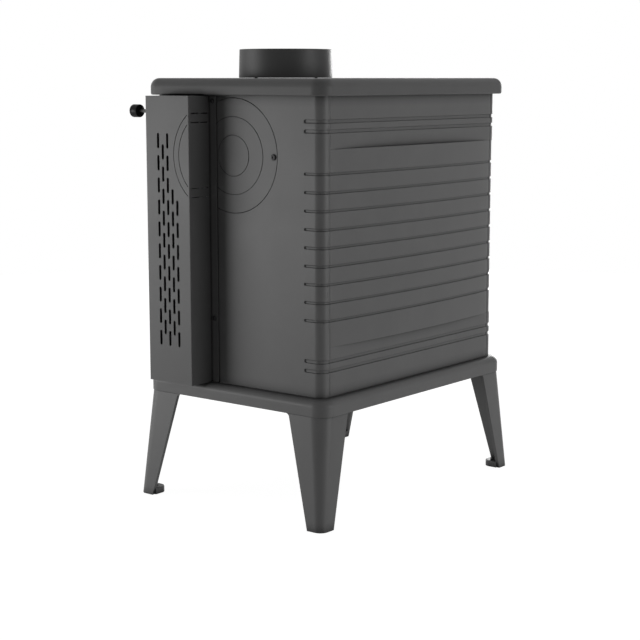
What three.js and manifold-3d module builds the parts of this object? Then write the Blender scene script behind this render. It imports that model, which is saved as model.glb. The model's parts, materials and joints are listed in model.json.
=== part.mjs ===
// A narrow cast-iron wood stove on four splayed legs, with a glazed door, an ash drawer,
// a top flue collar and a slotted sheet-steel air box on its back.
// Millimetres. +Z is up, the door faces -Y, and the origin is on the floor under the middle.
import * as THREE from "three";
import { mergeVertices } from "three/addons/utils/BufferGeometryUtils.js";
import Module from "manifold-3d";

const wasm = await Module();
wasm.setup();

// ---------- Driving dimensions ----------

// Clearances
const JOINT_GAP = 0.3; // between castings that are bedded together, and round pins
const ARC_STEPS = 3; // flats in a rounded corner
const ROUND_SIDES = 12; // flats round a pin or a hole
const WIDE_SIDES = 40; // flats round the flue openings
const HEX = 6; // flats of a hexagon head
const SCREW_HEAD = 1.9; // radius of a small screw's head over that of its shank

// Legs: L-section castings that taper and splay towards the floor
const LEG_HEIGHT = 180;
const LEG_WALL = 6;
const LEG_WALL_LAP = 1; // how far pads and lugs run into the wall
const LEG_TOP_ACROSS = 73; // width of the flange along the front or back, at its top
const LEG_TOP_ALONG = 63; // width of the flange along the side
const LEG_FOOT_ACROSS = 32;
const LEG_FOOT_ALONG = 29;
const LEG_CORNER_RADIUS = 26;
const LEG_SPLAY_ACROSS = 11;
const LEG_SPLAY_ALONG = 14.5;
const LEG_PAD_WIDTH = 52;
const LEG_PAD_THICK = 6;
const FOOT_LUG_WIDTH = 34;
const FOOT_LUG_THICK = 7.5;
const FOOT_LUG_CORNER = 14;
const FOOT_HOLE_RADIUS = 3.5;
const FOOT_HOLE_INSET = 20;
const LEG_BOLT_INSET = 25;
const LEG_BOLT_RADIUS = 5;
const LEG_BOLT_GRIP = 14;
const LEG_BOLT_HEAD_RADIUS = 8.5;
const LEG_BOLT_HEAD_HEIGHT = 6;

// Base frame
const BASE_THICK = 25;
const BASE_OVERHANG_SIDE = 16;
const BASE_OVERHANG_BACK = 16;
const BASE_OVERHANG_FRONT = 12;
const BASE_CORNER_RADIUS = 26;
const BASE_EDGE_RADIUS = 12;
const BASE_WEB = 8;
const BASE_SKIRT = 12;
const BASE_BOSS = 62;

// Body panels
const BODY_WIDTH = 350;
const BODY_DEPTH = 491;
const BODY_HEIGHT = 465;
const BODY_CORNER_RADIUS = 20;
const PANEL_WALL = 7;
const RETURN_BACK = 45;
const RETURN_FRONT = 22;
const GRATE_LEDGE_WIDTH = 12;
const GRATE_LEDGE_THICK = 6;
const GRATE_LEDGE_END = 40;

// Ribbed field on each side panel
const FIELD_BOTTOM = 79;
const FIELD_TOP = 385;
const FIELD_END_MARGIN = 19.5;
const FIELD_CROWN = 9;
const FIELD_STEPS = 6;
const GROOVE_COUNT = 9;
const GROOVE_PITCH = 28.3;
const GROOVE_FIRST = 120.8;
const GROOVE_HEIGHT = 4;
const GROOVE_DEPTH = 2;
const GROOVE_RETURN_BACK = 35.7;
const CHANNEL_HEIGHT = 5.5;
const CHANNEL_PITCH = 15.1;
const CHANNEL_LOW = 41.8;
const CHANNEL_TOP_MARGIN = 38.2;

// Top plate
const LID_THICK = 27;
const LID_OVERHANG_SIDE = 12.5;
const LID_OVERHANG_BACK = 13;
const LID_OVERHANG_FRONT = 16;
const LID_CORNER_RADIUS = 30;
const LID_EDGE_RADIUS = 14.5;
const LID_LOWER_EDGE_RADIUS = 2.5;
const LID_WEB = 10;
const LID_RIM = 35;

// Flue collar
const FLUE_SETBACK = 124.5;
const COLLAR_RADIUS = 75;
const COLLAR_DRAFT = 1.3;
const COLLAR_HEIGHT = 46;
const COLLAR_WALL = 6;
const COLLAR_SEAT_WIDTH = 11;
const COLLAR_SEAT_THICK = 7;
const COLLAR_SCREW_RADIUS = 2.5;
const COLLAR_SCREW_GRIP = 5;

// Rear flue outlet and its cover
const OUTLET_OFFSET = 5; // towards the air box
const OUTLET_HEIGHT = 370.5;
const OUTLET_RADIUS = 76;
const COVER_RADIUS = 91;
const COVER_THICK = 4.7;
const COVER_SCREW_RADIUS = 2;
const COVER_SCREW_HEAD_RADIUS = 4.7;
const COVER_SCREW_INSET = 7.3;
const COVER_TOP_ROOM = 3.5; // least room from the cover up to the top plate

// Air box on the back
const AIR_BOX_INSET = 26.5;
const AIR_BOX_WIDTH = 94.5;
const AIR_BOX_DEPTH = 50;
const AIR_BOX_SHEET = 1.5;
const AIR_BOX_TOP_GAP = 1;
const AIR_BOX_FLANGE = 14.5;
const AIR_BOX_OUTER_FLANGE = 12;
const AIR_BOX_SCREW_RADIUS = 1.8;
const AIR_BOX_SCREW_INSET = 6.5;
const AIR_BOX_SCREW_TOP = 8;
const AIR_BOX_SCREW_SPAN = 350;
const SLOT_WIDTH = 4.8;
const SLOT_LENGTH = 24.5;
const SLOT_PITCH_UP = 35.5;
const SLOT_PITCH_ACROSS = 10.1;
const SLOT_COLUMNS = 5;
const SLOT_ROWS = 10;
const SLOT_TOP = 393;
const KNOCKOUT_RADIUS = 82.5;
const KNOCKOUT_INNER_RADIUS = 71.5;
const KNOCKOUT_CLEARANCE = 8;
const KNOCKOUT_SLIT = 0.8;
const KNOCKOUT_BRIDGE = 5;

// Air control
const AIR_ROD_RADIUS = 3;
const AIR_ROD_HEIGHT = 439;
const AIR_ROD_DEPTH = 25;
const AIR_KNOB_RADIUS = 10.5;
const AIR_KNOB_LENGTH = 15.5;
const AIR_KNOB_END = 2;
const AIR_KNOB_GRUB_RADIUS = 1.6;
const AIR_KNOB_STANDOFF = 36.5;
const AIR_TRAVEL = 28;
const AIR_PORT_WIDTH = 24;
const AIR_PORT_HEIGHT = 14;
const AIR_PORT_OFFSET = 17;
const SHUTTER_LAP = 3;
const SHUTTER_SHEET = 2;
const INLET_WIDTH = 40;
const INLET_HEIGHT = 36;
const INLET_SILL = 21;

// Firebox mouth, ash drawer mouth and grate levels, up from the base frame
const MOUTH_WIDTH = 220;
const MOUTH_HEIGHT = 300;
const MOUTH_SILL = 115;
const DRAWER_MOUTH_HEIGHT = 60;
const DRAWER_SILL = 17;
const GRATE_LEVEL = 87;

// Door
const DOOR_LAP = 17;
const DOOR_THICK = 16;
const DOOR_STANDOFF = 4;
const DOOR_CORNER_RADIUS = 10;
const WINDOW_WIDTH = 176;
const WINDOW_HEIGHT = 240;
const WINDOW_CORNER_RADIUS = 6;
const GLASS_LAP = 8.7;
const GLASS_THICK = 5;
const GLASS_CORNER_RADIUS = 2;
const GASKET_THICK = 2;
const GASKET_WIDTH = 7;
const ROPE_WIDTH = 7.4;
const ROPE_CHANNEL_DEPTH = 5;
const ROPE_OUTSET = 6;
const ROPE_CORNER_RADIUS = 6;
const RETAINER_LENGTH = 120;
const RETAINER_WIDTH = 18;
const RETAINER_SHEET = 2;
const RETAINER_SCREW_RADIUS = 2;
const RETAINER_SCREW_INSET = 5;
const RETAINER_SCREW_HEAD_HEIGHT = 1.4;
const RETAINER_SCREW_BITE = 2;
const RETAINER_ROOM = 1; // least room from a retainer out to the rope
const HINGE_OUTSET = 10;
const HINGE_SPREAD = 220;
const KNUCKLE_LENGTH = 30;
const LUG_LENGTH = 16;
const HINGE_PIN_RADIUS = 4;
const HINGE_PIN_SINK = 12;
const HINGE_PIN_HEAD_RADIUS = 6;
const HINGE_PIN_HEAD_HEIGHT = 2;

// Door handle and latch
const HANDLE_OUTSET = 8;
const HANDLE_EAR_RADIUS = 9;
const SPINDLE_RADIUS = 5;
const SPINDLE_TANG_RADIUS = 3.5;
const LEVER_HUB_THICK = 7.7;
const LEVER_ROD_RADIUS = 4.5;
const LEVER_REACH = 90;
const LEVER_OFFSET = 37;
const NECK_ROOM = 1; // from the spindle head down to the neck
const SPINDLE_HEAD_RADIUS = 8;
const SPINDLE_HEAD_THICK = 2.5;
const GRIP_RADIUS = 9;
const GRIP_END_RADIUS = 7.2;
const GRIP_END = 6.3; // of the grip beyond the end of the lever
const GRIP_LENGTH = 72;
const CAM_HUB_RADIUS = 7;
const CAM_LENGTH = 14;
const CAM_WIDTH = 10;
const CAM_THICK = 3;
const KEEPER_GAP = 1; // from the ear that carries the handle
const KEEPER_HEIGHT = 16;
const KEEPER_FOOT = 16;
const KEEPER_THICK = 2.7;
const KEEPER_SCREW_RADIUS = 1.6;

// Ash drawer
const DRAWER_FRONT_THICK = 12;
const DRAWER_FRONT_LAP = 9;
const PAN_LENGTH = 430;
const PAN_SIDE_GAP = 6;
const PAN_LIFT = 2;
const PAN_HEIGHT = 52;
const PAN_SHEET = 2;
const DRAWER_KNOB_RADIUS = 15;
const DRAWER_KNOB_LENGTH = 20;
const DRAWER_STEM_RADIUS = 4;
const RUNNER_WIDTH = 10;
const RUNNER_GUIDE_THICK = 3.5;
const RUNNER_GUIDE_HEIGHT = 14;

// Inside the firebox
const BED_THICK = 8;
const BED_CORNER_RADIUS = 16;
const GRATE_WIDTH = 140;
const GRATE_LENGTH = 316;
const GRATE_THICK = 8;
const GRATE_REBATE = 5;
const GRATE_SEAT = 8;
const GRATE_SLOT_WIDTH = 10;
const GRATE_SLOT_PITCH = 20;
const LINER_THICK = 25;
const LINER_LENGTH = 410;
const LINER_END_ROOM = 40.5; // least room from a liner's end out to the body's face
const LINER_BACK_TOP = 293;
const BAFFLE_SLOPE = 0.268;
const BAFFLE_THICK = 8;
const BAFFLE_FRONT_GAP = 138.5;
const BAFFLE_LAP = 6.3;
const BACK_LINER_WIDTH = 280;
const BACK_LINER_DROP = 3;
const GUARD_WIDTH = 200;
const GUARD_HEIGHT = 38;
const GUARD_THICK = 8;
const GUARD_FOOT = 26;
const GUARD_SLOTS = 5;

// Tie rods from the base frame up to the top plate
const TIE_ROD_RADIUS = 4;
const TIE_ROD_INSET_SIDE = 20;
const TIE_ROD_INSET_END = 23.5;
const TIE_NUT_RADIUS = 7;
const TIE_NUT_HEIGHT = 6;
const TIE_ROD_SINK = 17;

// ---------- Levels and faces that follow from the sizes ----------

const bodyZ = LEG_HEIGHT + BASE_THICK;
const lidZ = bodyZ + Math.max(BODY_HEIGHT, OUTLET_HEIGHT + COVER_RADIUS + COVER_TOP_ROOM);
const topZ = lidZ + LID_THICK;
const halfWidth = BODY_WIDTH / 2;
const halfDepth = Math.max(BODY_DEPTH / 2, LINER_LENGTH / 2 + LINER_END_ROOM);
const insideX = halfWidth - PANEL_WALL;
const insideY = halfDepth - PANEL_WALL;
const panelBottom = bodyZ + JOINT_GAP;
const panelTop = lidZ - JOINT_GAP;
const flueY = halfDepth - FLUE_SETBACK;
const outletZ = bodyZ + OUTLET_HEIGHT;
const mouthHalf = MOUTH_WIDTH / 2;
const mouthRise = MOUTH_HEIGHT / 2;
const mouthZ = bodyZ + MOUTH_SILL + mouthRise;
const drawerZ = bodyZ + DRAWER_SILL;
const ledgeTop = bodyZ + GRATE_LEVEL;
const bedTop = ledgeTop + JOINT_GAP + BED_THICK;
const tieX = halfWidth - TIE_ROD_INSET_SIDE;
const tieY = halfDepth - TIE_ROD_INSET_END;

// ---------- Shapes ----------

const X = new THREE.Vector3(1, 0, 0);
const Y = new THREE.Vector3(0, 1, 0);
const Z = new THREE.Vector3(0, 0, 1);

// A closed geometry as a solid that can be joined and cut.
function solidOf(geometry) {
  const bare = geometry.clone();
  bare.deleteAttribute("normal");
  bare.deleteAttribute("uv");
  const merged = mergeVertices(bare, 1e-4);
  const corners = merged.index.array;
  const faces = [];
  for (let i = 0; i < corners.length; i += 3) {
    const [a, b, c] = [corners[i], corners[i + 1], corners[i + 2]];
    if (a !== b && b !== c && c !== a) faces.push(a, b, c);
  }
  return new wasm.Manifold(
    new wasm.Mesh({
      numProp: 3,
      vertProperties: merged.attributes.position.array,
      triVerts: new Uint32Array(faces),
    }),
  );
}

function join(...solids) {
  return solids.reduce((whole, piece) => whole.add(piece));
}

function cut(solid, ...tools) {
  return tools.reduce((rest, tool) => rest.subtract(tool), solid);
}

// A box between [low, high] pairs.
function block(x, y, z) {
  const box = new THREE.BoxGeometry(x[1] - x[0], y[1] - y[0], z[1] - z[0]);
  box.translate((x[0] + x[1]) / 2, (y[0] + y[1]) / 2, (z[0] + z[1]) / 2);
  return solidOf(box);
}

// An outline drawn in (x, y), (x, z) or (y, z), run along the third axis from low to high.
function prism(outline, axis, [low, high]) {
  const shape = Array.isArray(outline) ? new THREE.Shape(outline) : outline;
  const run = new THREE.ExtrudeGeometry(shape, { depth: high - low, bevelEnabled: false });
  if (axis === "x") run.applyMatrix4(new THREE.Matrix4().makeBasis(Y, Z, X)).translate(low, 0, 0);
  if (axis === "y") {
    run.applyMatrix4(new THREE.Matrix4().makeBasis(X, Z, Y.clone().negate())).translate(0, high, 0);
  }
  if (axis === "z") run.translate(0, 0, low);
  return solidOf(run);
}

function arc(centreX, centreY, radius, fromDegrees, toDegrees, steps = ARC_STEPS) {
  const points = [];
  for (let i = 0; i <= steps; i += 1) {
    const turn = THREE.MathUtils.degToRad(fromDegrees + ((toDegrees - fromDegrees) * i) / steps);
    points.push(new THREE.Vector2(centreX + radius * Math.cos(turn), centreY + radius * Math.sin(turn)));
  }
  return points;
}

function circle(radius, centreX = 0, centreY = 0, sides = ROUND_SIDES) {
  return arc(centreX, centreY, radius, 0, 360, sides).slice(0, sides);
}

function roundedRectangle([left, right], [low, high], radius) {
  return [
    ...arc(right - radius, high - radius, radius, 0, 90),
    ...arc(left + radius, high - radius, radius, 90, 180),
    ...arc(left + radius, low + radius, radius, 180, 270),
    ...arc(right - radius, low + radius, radius, 270, 360),
  ];
}

// A shape run up through a number of layers, 1 mm apart, that are moved to their places later.
function layered(shape, count) {
  return new THREE.ExtrudeGeometry(shape, { depth: count - 1, steps: count - 1, bevelEnabled: false });
}

function withHole(outline, hole) {
  const shape = new THREE.Shape(outline);
  shape.holes.push(new THREE.Path(hole));
  return shape;
}

// A profile of [radius, height] pairs turned about Z. It runs up the outside.
function turned(profile, sides = ROUND_SIDES) {
  const points = profile.map(([radius, height]) => new THREE.Vector2(radius, height));
  const spin = new THREE.LatheGeometry(points, sides);
  return solidOf(spin.applyMatrix4(new THREE.Matrix4().makeBasis(X, Z, Y.clone().negate())));
}

// A pin, bolt or screw that points down -Z from the underside of its head at z = 0.
function headed(headRadius, headHeight, shankRadius, shankLength, headSides = ROUND_SIDES) {
  const shank = turned([[0, -shankLength], [shankRadius, -shankLength], [shankRadius, 1], [0, 1]]);
  return shank.add(turned([[0, 0], [headRadius, 0], [headRadius, headHeight], [0, headHeight]], headSides));
}

// The hole that such a fastener needs, from 1 mm above its seat.
function clearHole([x, y, z], axis, radius, [low, high]) {
  const centre = { x: [y, z], y: [x, z], z: [x, y] }[axis];
  return prism(circle(radius + JOINT_GAP, ...centre), axis, [low, high]);
}

// ---------- Finishes ----------

const CAST_IRON = { color: 0x3b3c3d, roughness: 0.72, metalness: 0.35 };
const FIREBOX_IRON = { color: 0x34322f, roughness: 0.85, metalness: 0.3 };
const PAINTED_SHEET = { color: 0x3a3b3c, roughness: 0.68, metalness: 0.3 };
const BLACK_COLLAR = { color: 0x1b1b1c, roughness: 0.5, metalness: 0.3 };
const BLACK_PLASTIC = { color: 0x121213, roughness: 0.4, metalness: 0 };
const BLACK_SCREW = { color: 0x101011, roughness: 0.5, metalness: 0.6 };
const BRIGHT_STEEL = { color: 0x9a9a98, roughness: 0.35, metalness: 1 };
const FIRE_CLAY = { color: 0xb39a72, roughness: 0.95, metalness: 0 };
const GLASS_ROPE = { color: 0x3f3e3c, roughness: 0.95, metalness: 0 };
const DARK_GLASS = { color: 0x20211f, roughness: 0.08, metalness: 0, transparent: true, opacity: 0.45 };

function place(parent, name, solid, finish, position = [0, 0, 0], aim = Z) {
  const { vertProperties, triVerts } = solid.getMesh();
  const geometry = new THREE.BufferGeometry();
  geometry.setAttribute("position", new THREE.BufferAttribute(new Float32Array(vertProperties), 3));
  geometry.setIndex(new THREE.BufferAttribute(new Uint32Array(triVerts), 1));
  geometry.computeVertexNormals();
  const mesh = new THREE.Mesh(geometry, new THREE.MeshStandardMaterial(finish));
  mesh.name = name;
  mesh.position.set(...position);
  mesh.quaternion.setFromUnitVectors(Z, aim);
  parent.add(mesh);
  return mesh;
}

const stove = new THREE.Group();

// ---------- Legs and their bolts ----------

const legCornerX = halfWidth + BASE_OVERHANG_SIDE;
const legCornerBack = halfDepth + BASE_OVERHANG_BACK;
const legCornerFront = -(halfDepth + BASE_OVERHANG_FRONT);
const legTop = LEG_HEIGHT - JOINT_GAP;
const wallLap = LEG_WALL - LEG_WALL_LAP;

// What a reach from the leg's outer corner at its top comes to at its foot.
function atFoot(reach, topFlange, footFlange) {
  const share = (footFlange - LEG_WALL) / (topFlange - LEG_WALL);
  return reach > LEG_WALL ? LEG_WALL + (reach - LEG_WALL) * share : reach;
}

// One leg, its outer corner at the origin and its flanges running along +X and +Y.
function legSolid() {
  const radius = LEG_CORNER_RADIUS;
  const section = [
    new THREE.Vector2(0, LEG_TOP_ALONG),
    ...arc(radius, radius, radius, 180, 270),
    new THREE.Vector2(LEG_TOP_ACROSS, 0),
    new THREE.Vector2(LEG_TOP_ACROSS, LEG_WALL),
    ...arc(radius, radius, radius - LEG_WALL, 270, 180),
    new THREE.Vector2(LEG_WALL, LEG_TOP_ALONG),
  ];
  const run = layered(new THREE.Shape(section), 2);
  const spots = run.getAttribute("position");
  for (let i = 0; i < spots.count; i += 1) {
    if (spots.getZ(i) > 0) {
      spots.setZ(i, legTop);
    } else {
      const x = atFoot(spots.getX(i), LEG_TOP_ACROSS, LEG_FOOT_ACROSS) - LEG_SPLAY_ACROSS;
      const y = atFoot(spots.getY(i), LEG_TOP_ALONG, LEG_FOOT_ALONG) - LEG_SPLAY_ALONG;
      spots.setXYZ(i, x, y, 0);
    }
  }
  return cut(join(solidOf(run), legPad(), footLug()), legBoltHole(), footHole());
}

// The level pad inside the top of the leg, which the bolt draws up under the base frame.
function legPad() {
  const outline = [
    ...arc(LEG_CORNER_RADIUS, LEG_CORNER_RADIUS, LEG_CORNER_RADIUS - wallLap, 180, 270),
    new THREE.Vector2(LEG_PAD_WIDTH, wallLap),
    new THREE.Vector2(LEG_PAD_WIDTH, LEG_PAD_WIDTH),
    new THREE.Vector2(wallLap, LEG_PAD_WIDTH),
  ];
  return prism(outline, "z", [legTop - LEG_PAD_THICK, legTop]);
}

// The small level lug inside the foot, with a hole for a floor fixing.
function footLug() {
  const corner = atFoot(LEG_CORNER_RADIUS, LEG_TOP_ACROSS, LEG_FOOT_ACROSS);
  const round = FOOT_LUG_WIDTH - FOOT_LUG_CORNER;
  const outline = [
    ...arc(corner, corner, corner - wallLap, 180, 270),
    new THREE.Vector2(FOOT_LUG_WIDTH, wallLap),
    ...arc(round, round, FOOT_LUG_CORNER, 0, 90),
    new THREE.Vector2(wallLap, FOOT_LUG_WIDTH),
  ];
  const lug = prism(outline, "z", [0, FOOT_LUG_THICK]);
  return lug.translate(-LEG_SPLAY_ACROSS, -LEG_SPLAY_ALONG, 0);
}

function legBoltHole() {
  const seat = legTop - LEG_PAD_THICK;
  return clearHole([LEG_BOLT_INSET, LEG_BOLT_INSET, 0], "z", LEG_BOLT_RADIUS, [seat - 1, LEG_HEIGHT + 1]);
}

function footHole() {
  const middle = [FOOT_HOLE_INSET - LEG_SPLAY_ACROSS, FOOT_HOLE_INSET - LEG_SPLAY_ALONG];
  return prism(circle(FOOT_HOLE_RADIUS, ...middle), "z", [-1, FOOT_LUG_THICK + 1]);
}

const CORNERS = [
  { name: "front_left", side: -1, end: -1, legCornerY: legCornerFront },
  { name: "front_right", side: 1, end: -1, legCornerY: legCornerFront },
  { name: "back_right", side: 1, end: 1, legCornerY: legCornerBack },
  { name: "back_left", side: -1, end: 1, legCornerY: legCornerBack },
];
const down = Z.clone().negate();
const legBoltSeat = legTop - LEG_PAD_THICK - JOINT_GAP;
const legBoltTip = LEG_HEIGHT + LEG_BOLT_GRIP;
const leg = legSolid();
const legBoltGrip = legBoltTip - legBoltSeat;
const legBolt = headed(LEG_BOLT_HEAD_RADIUS, LEG_BOLT_HEAD_HEIGHT, LEG_BOLT_RADIUS, legBoltGrip, HEX);
for (const { name, side, end, legCornerY } of CORNERS) {
  const mesh = place(stove, `leg_${name}`, leg, CAST_IRON, [side * legCornerX, legCornerY, 0]);
  mesh.scale.set(-side, -end, 1);
  const at = [side * (legCornerX - LEG_BOLT_INSET), legCornerY - end * LEG_BOLT_INSET, legBoltSeat];
  place(stove, `leg_bolt_${name}`, legBolt, BLACK_SCREW, at, down);
}

// ---------- Base frame and top plate, with moulded edges ----------

function quarterRound(radius, top) {
  return arc(0, 0, radius, 0, 90).map(({ x, y }) => ({ inset: radius - x, z: top - radius + y }));
}

// A rounded plate whose edge follows a list of insets, bottom to top.
function mouldedPlate([left, right], [front, back], radius, edge) {
  const outline = new THREE.Shape(roundedRectangle([left, right], [front, back], radius));
  const run = layered(outline, edge.length);
  const spots = run.getAttribute("position");
  for (let i = 0; i < spots.count; i += 1) {
    const { inset, z } = edge[Math.round(spots.getZ(i))];
    const [x, y] = [spots.getX(i), spots.getY(i)];
    const coreX = THREE.MathUtils.clamp(x, left + radius, right - radius);
    const coreY = THREE.MathUtils.clamp(y, front + radius, back - radius);
    const share = (radius - inset) / radius;
    spots.setXYZ(i, coreX + (x - coreX) * share, coreY + (y - coreY) * share, z);
  }
  return solidOf(run);
}

function baseFrame() {
  const edge = [{ inset: 0, z: LEG_HEIGHT }, ...quarterRound(BASE_EDGE_RADIUS, bodyZ)];
  const [acrossX, alongY] = [[-legCornerX, legCornerX], [legCornerFront, legCornerBack]];
  const inFrom = ([low, high], inset) => [low + inset, high - inset];
  const hollow = [LEG_HEIGHT - 1, bodyZ - BASE_WEB];
  const tools = [
    block(inFrom(acrossX, BASE_SKIRT), inFrom(alongY, BASE_BOSS), hollow),
    block(inFrom(acrossX, BASE_BOSS), inFrom(alongY, BASE_SKIRT), hollow),
  ];
  for (const { side, end, legCornerY } of CORNERS) {
    const bolt = [side * (legCornerX - LEG_BOLT_INSET), legCornerY - end * LEG_BOLT_INSET, 0];
    const rod = [side * tieX, end * tieY, 0];
    tools.push(clearHole(bolt, "z", LEG_BOLT_RADIUS, [LEG_HEIGHT - 1, legBoltTip + 1]));
    tools.push(clearHole(rod, "z", TIE_ROD_RADIUS, [LEG_HEIGHT - 1, bodyZ + 1]));
    tools.push(clearHole(rod, "z", TIE_NUT_RADIUS, [LEG_HEIGHT - 1, tieNutTop + JOINT_GAP]));
  }
  return cut(mouldedPlate(acrossX, alongY, BASE_CORNER_RADIUS, edge), ...tools);
}

function topPlate() {
  const edge = [
    { inset: LID_LOWER_EDGE_RADIUS, z: lidZ },
    { inset: 0, z: lidZ + LID_LOWER_EDGE_RADIUS },
    ...quarterRound(LID_EDGE_RADIUS, topZ),
  ];
  const slab = mouldedPlate(
    [-(halfWidth + LID_OVERHANG_SIDE), halfWidth + LID_OVERHANG_SIDE],
    [-(halfDepth + LID_OVERHANG_FRONT), halfDepth + LID_OVERHANG_BACK],
    LID_CORNER_RADIUS,
    edge,
  );
  const [rimX, rimY] = [halfWidth - LID_RIM, halfDepth - LID_RIM];
  const tools = [
    block([-rimX, rimX], [-rimY, rimY], [lidZ - 1, topZ - LID_WEB]),
    prism(circle(flueRadius, 0, flueY, WIDE_SIDES), "z", [lidZ, topZ + 1]),
  ];
  for (const { side, end } of CORNERS) {
    tools.push(clearHole([side * tieX, end * tieY, 0], "z", TIE_ROD_RADIUS, [lidZ - 1, tieTip + 1]));
  }
  for (const side of [-1, 1]) {
    const hole = [topZ - COLLAR_SCREW_GRIP - 1, topZ + 1];
    tools.push(clearHole([side * collarScrewX, flueY, 0], "z", COLLAR_SCREW_RADIUS, hole));
  }
  return cut(slab, ...tools);
}

const tieNutTop = LEG_HEIGHT + JOINT_GAP + TIE_NUT_HEIGHT;
const tieTip = lidZ + TIE_ROD_SINK;
const flueRadius = COLLAR_RADIUS - COLLAR_WALL - COLLAR_SEAT_WIDTH;
const collarScrewX = flueRadius + COLLAR_SEAT_WIDTH / 2;

place(stove, "base_frame", baseFrame(), CAST_IRON);
place(stove, "top_plate", topPlate(), CAST_IRON);
const tieRod = headed(TIE_NUT_RADIUS, TIE_NUT_HEIGHT, TIE_ROD_RADIUS, tieTip - tieNutTop, HEX);
for (const { name, side, end } of CORNERS) {
  place(stove, `tie_rod_${name}`, tieRod, BRIGHT_STEEL, [side * tieX, end * tieY, tieNutTop], down);
}

// ---------- Flue collar ----------

function flueCollar() {
  const rim = COLLAR_RADIUS - COLLAR_WALL;
  const ring = turned(
    [
      [flueRadius, 0],
      [COLLAR_RADIUS + COLLAR_DRAFT, 0],
      [COLLAR_RADIUS, COLLAR_HEIGHT - JOINT_GAP],
      [rim, COLLAR_HEIGHT - JOINT_GAP],
      [rim, COLLAR_SEAT_THICK],
      [flueRadius, COLLAR_SEAT_THICK],
      [flueRadius, 0],
    ],
    WIDE_SIDES,
  );
  const hole = [-1, COLLAR_SEAT_THICK + 1];
  const screws = [-1, 1].map((side) =>
    clearHole([side * collarScrewX, 0, 0], "z", COLLAR_SCREW_RADIUS, hole),
  );
  return cut(ring, ...screws);
}

place(stove, "flue_collar", flueCollar(), BLACK_COLLAR, [0, flueY, topZ + JOINT_GAP]);
const SIDES = [
  { name: "left", side: -1 },
  { name: "right", side: 1 },
];
const collarScrewSeat = topZ + 2 * JOINT_GAP + COLLAR_SEAT_THICK;
const collarScrewGrip = collarScrewSeat - topZ + COLLAR_SCREW_GRIP;
const collarScrewHead = COLLAR_SCREW_RADIUS * SCREW_HEAD;
const collarScrew = headed(collarScrewHead, COLLAR_SCREW_RADIUS, COLLAR_SCREW_RADIUS, collarScrewGrip, HEX);
for (const { name, side } of SIDES) {
  const at = [side * collarScrewX, flueY, collarScrewSeat];
  place(stove, `collar_screw_${name}`, collarScrew, BLACK_SCREW, at);
}

// ---------- Body panels ----------

const point = (x, y) => new THREE.Vector2(x, y);

// The line round the left side of the body at an inset from its faces, from the back to the front.
function wrap(inset, returnBack, returnFront) {
  const turnX = -(halfWidth - BODY_CORNER_RADIUS);
  const turnY = halfDepth - BODY_CORNER_RADIUS;
  return [
    point(-(halfWidth - returnBack), halfDepth - inset),
    ...arc(turnX, turnY, BODY_CORNER_RADIUS - inset, 90, 180),
    ...arc(turnX, -turnY, BODY_CORNER_RADIUS - inset, 180, 270),
    point(-(halfWidth - returnFront), -(halfDepth - inset)),
  ];
}

function bandBetween(outer, inner) {
  return [...outer, ...inner.reverse()];
}

// The cut for one horizontal groove, from past the front joint to its end on the back.
function grooveCut(middle, height) {
  const past = RETURN_FRONT + PANEL_WALL;
  const clear = -(FIELD_CROWN + PANEL_WALL);
  const outer = wrap(clear, GROOVE_RETURN_BACK, past);
  const inner = wrap(GROOVE_DEPTH, GROOVE_RETURN_BACK, past);
  return prism(bandBetween(outer, inner), "z", [middle - height / 2, middle + height / 2]);
}

function sidePanel() {
  const outer = wrap(0, RETURN_BACK, RETURN_FRONT);
  const inner = wrap(PANEL_WALL, RETURN_BACK, RETURN_FRONT);
  const shell = prism(bandBetween(outer, inner), "z", [panelBottom, panelTop]);

  const fieldHalf = halfDepth - FIELD_END_MARGIN;
  const crown = [point(-halfWidth + PANEL_WALL / 2, fieldHalf)];
  for (let i = 0; i <= FIELD_STEPS; i += 1) {
    const share = 1 - (2 * i) / FIELD_STEPS;
    crown.push(point(-halfWidth - FIELD_CROWN * (1 - share * share), share * fieldHalf));
  }
  crown.push(point(-halfWidth + PANEL_WALL / 2, -fieldHalf));
  const field = prism(crown, "z", [bodyZ + FIELD_BOTTOM, bodyZ + FIELD_TOP]);

  const ledgeEnd = insideY - GRATE_LEDGE_END;
  const ledgeX = [-insideX - 1, -insideX + GRATE_LEDGE_WIDTH];
  const ledge = block(ledgeX, [-ledgeEnd, ledgeEnd], [ledgeTop - GRATE_LEDGE_THICK, ledgeTop]);

  const grooves = [];
  for (let i = 0; i < GROOVE_COUNT; i += 1) {
    grooves.push(grooveCut(bodyZ + GROOVE_FIRST + i * GROOVE_PITCH, GROOVE_HEIGHT));
  }
  for (const i of [0, 1]) {
    grooves.push(grooveCut(bodyZ + CHANNEL_LOW + i * CHANNEL_PITCH, CHANNEL_HEIGHT));
    grooves.push(grooveCut(lidZ - CHANNEL_TOP_MARGIN - i * CHANNEL_PITCH, CHANNEL_HEIGHT));
  }
  return cut(join(shell, field, ledge), ...grooves);
}

const boxRight = halfWidth - AIR_BOX_INSET;
const boxLeft = boxRight - AIR_BOX_WIDTH;
const boxMiddle = (boxLeft + boxRight) / 2;
const boxFrontY = halfDepth + JOINT_GAP;
const boxBackY = halfDepth + AIR_BOX_DEPTH;
const boxBottom = bodyZ + JOINT_GAP;
const boxTop = lidZ - AIR_BOX_TOP_GAP;
const boxScrewZ = [boxTop - AIR_BOX_SCREW_TOP - AIR_BOX_SCREW_SPAN, boxTop - AIR_BOX_SCREW_TOP];
const boxScrewLeft = boxLeft - AIR_BOX_SCREW_INSET;
const boxScrewRight = boxRight + AIR_BOX_OUTER_FLANGE / 2;
const boxScrewSeat = boxFrontY + AIR_BOX_SHEET + JOINT_GAP;
const boxScrewTip = insideY + 1;

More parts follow.
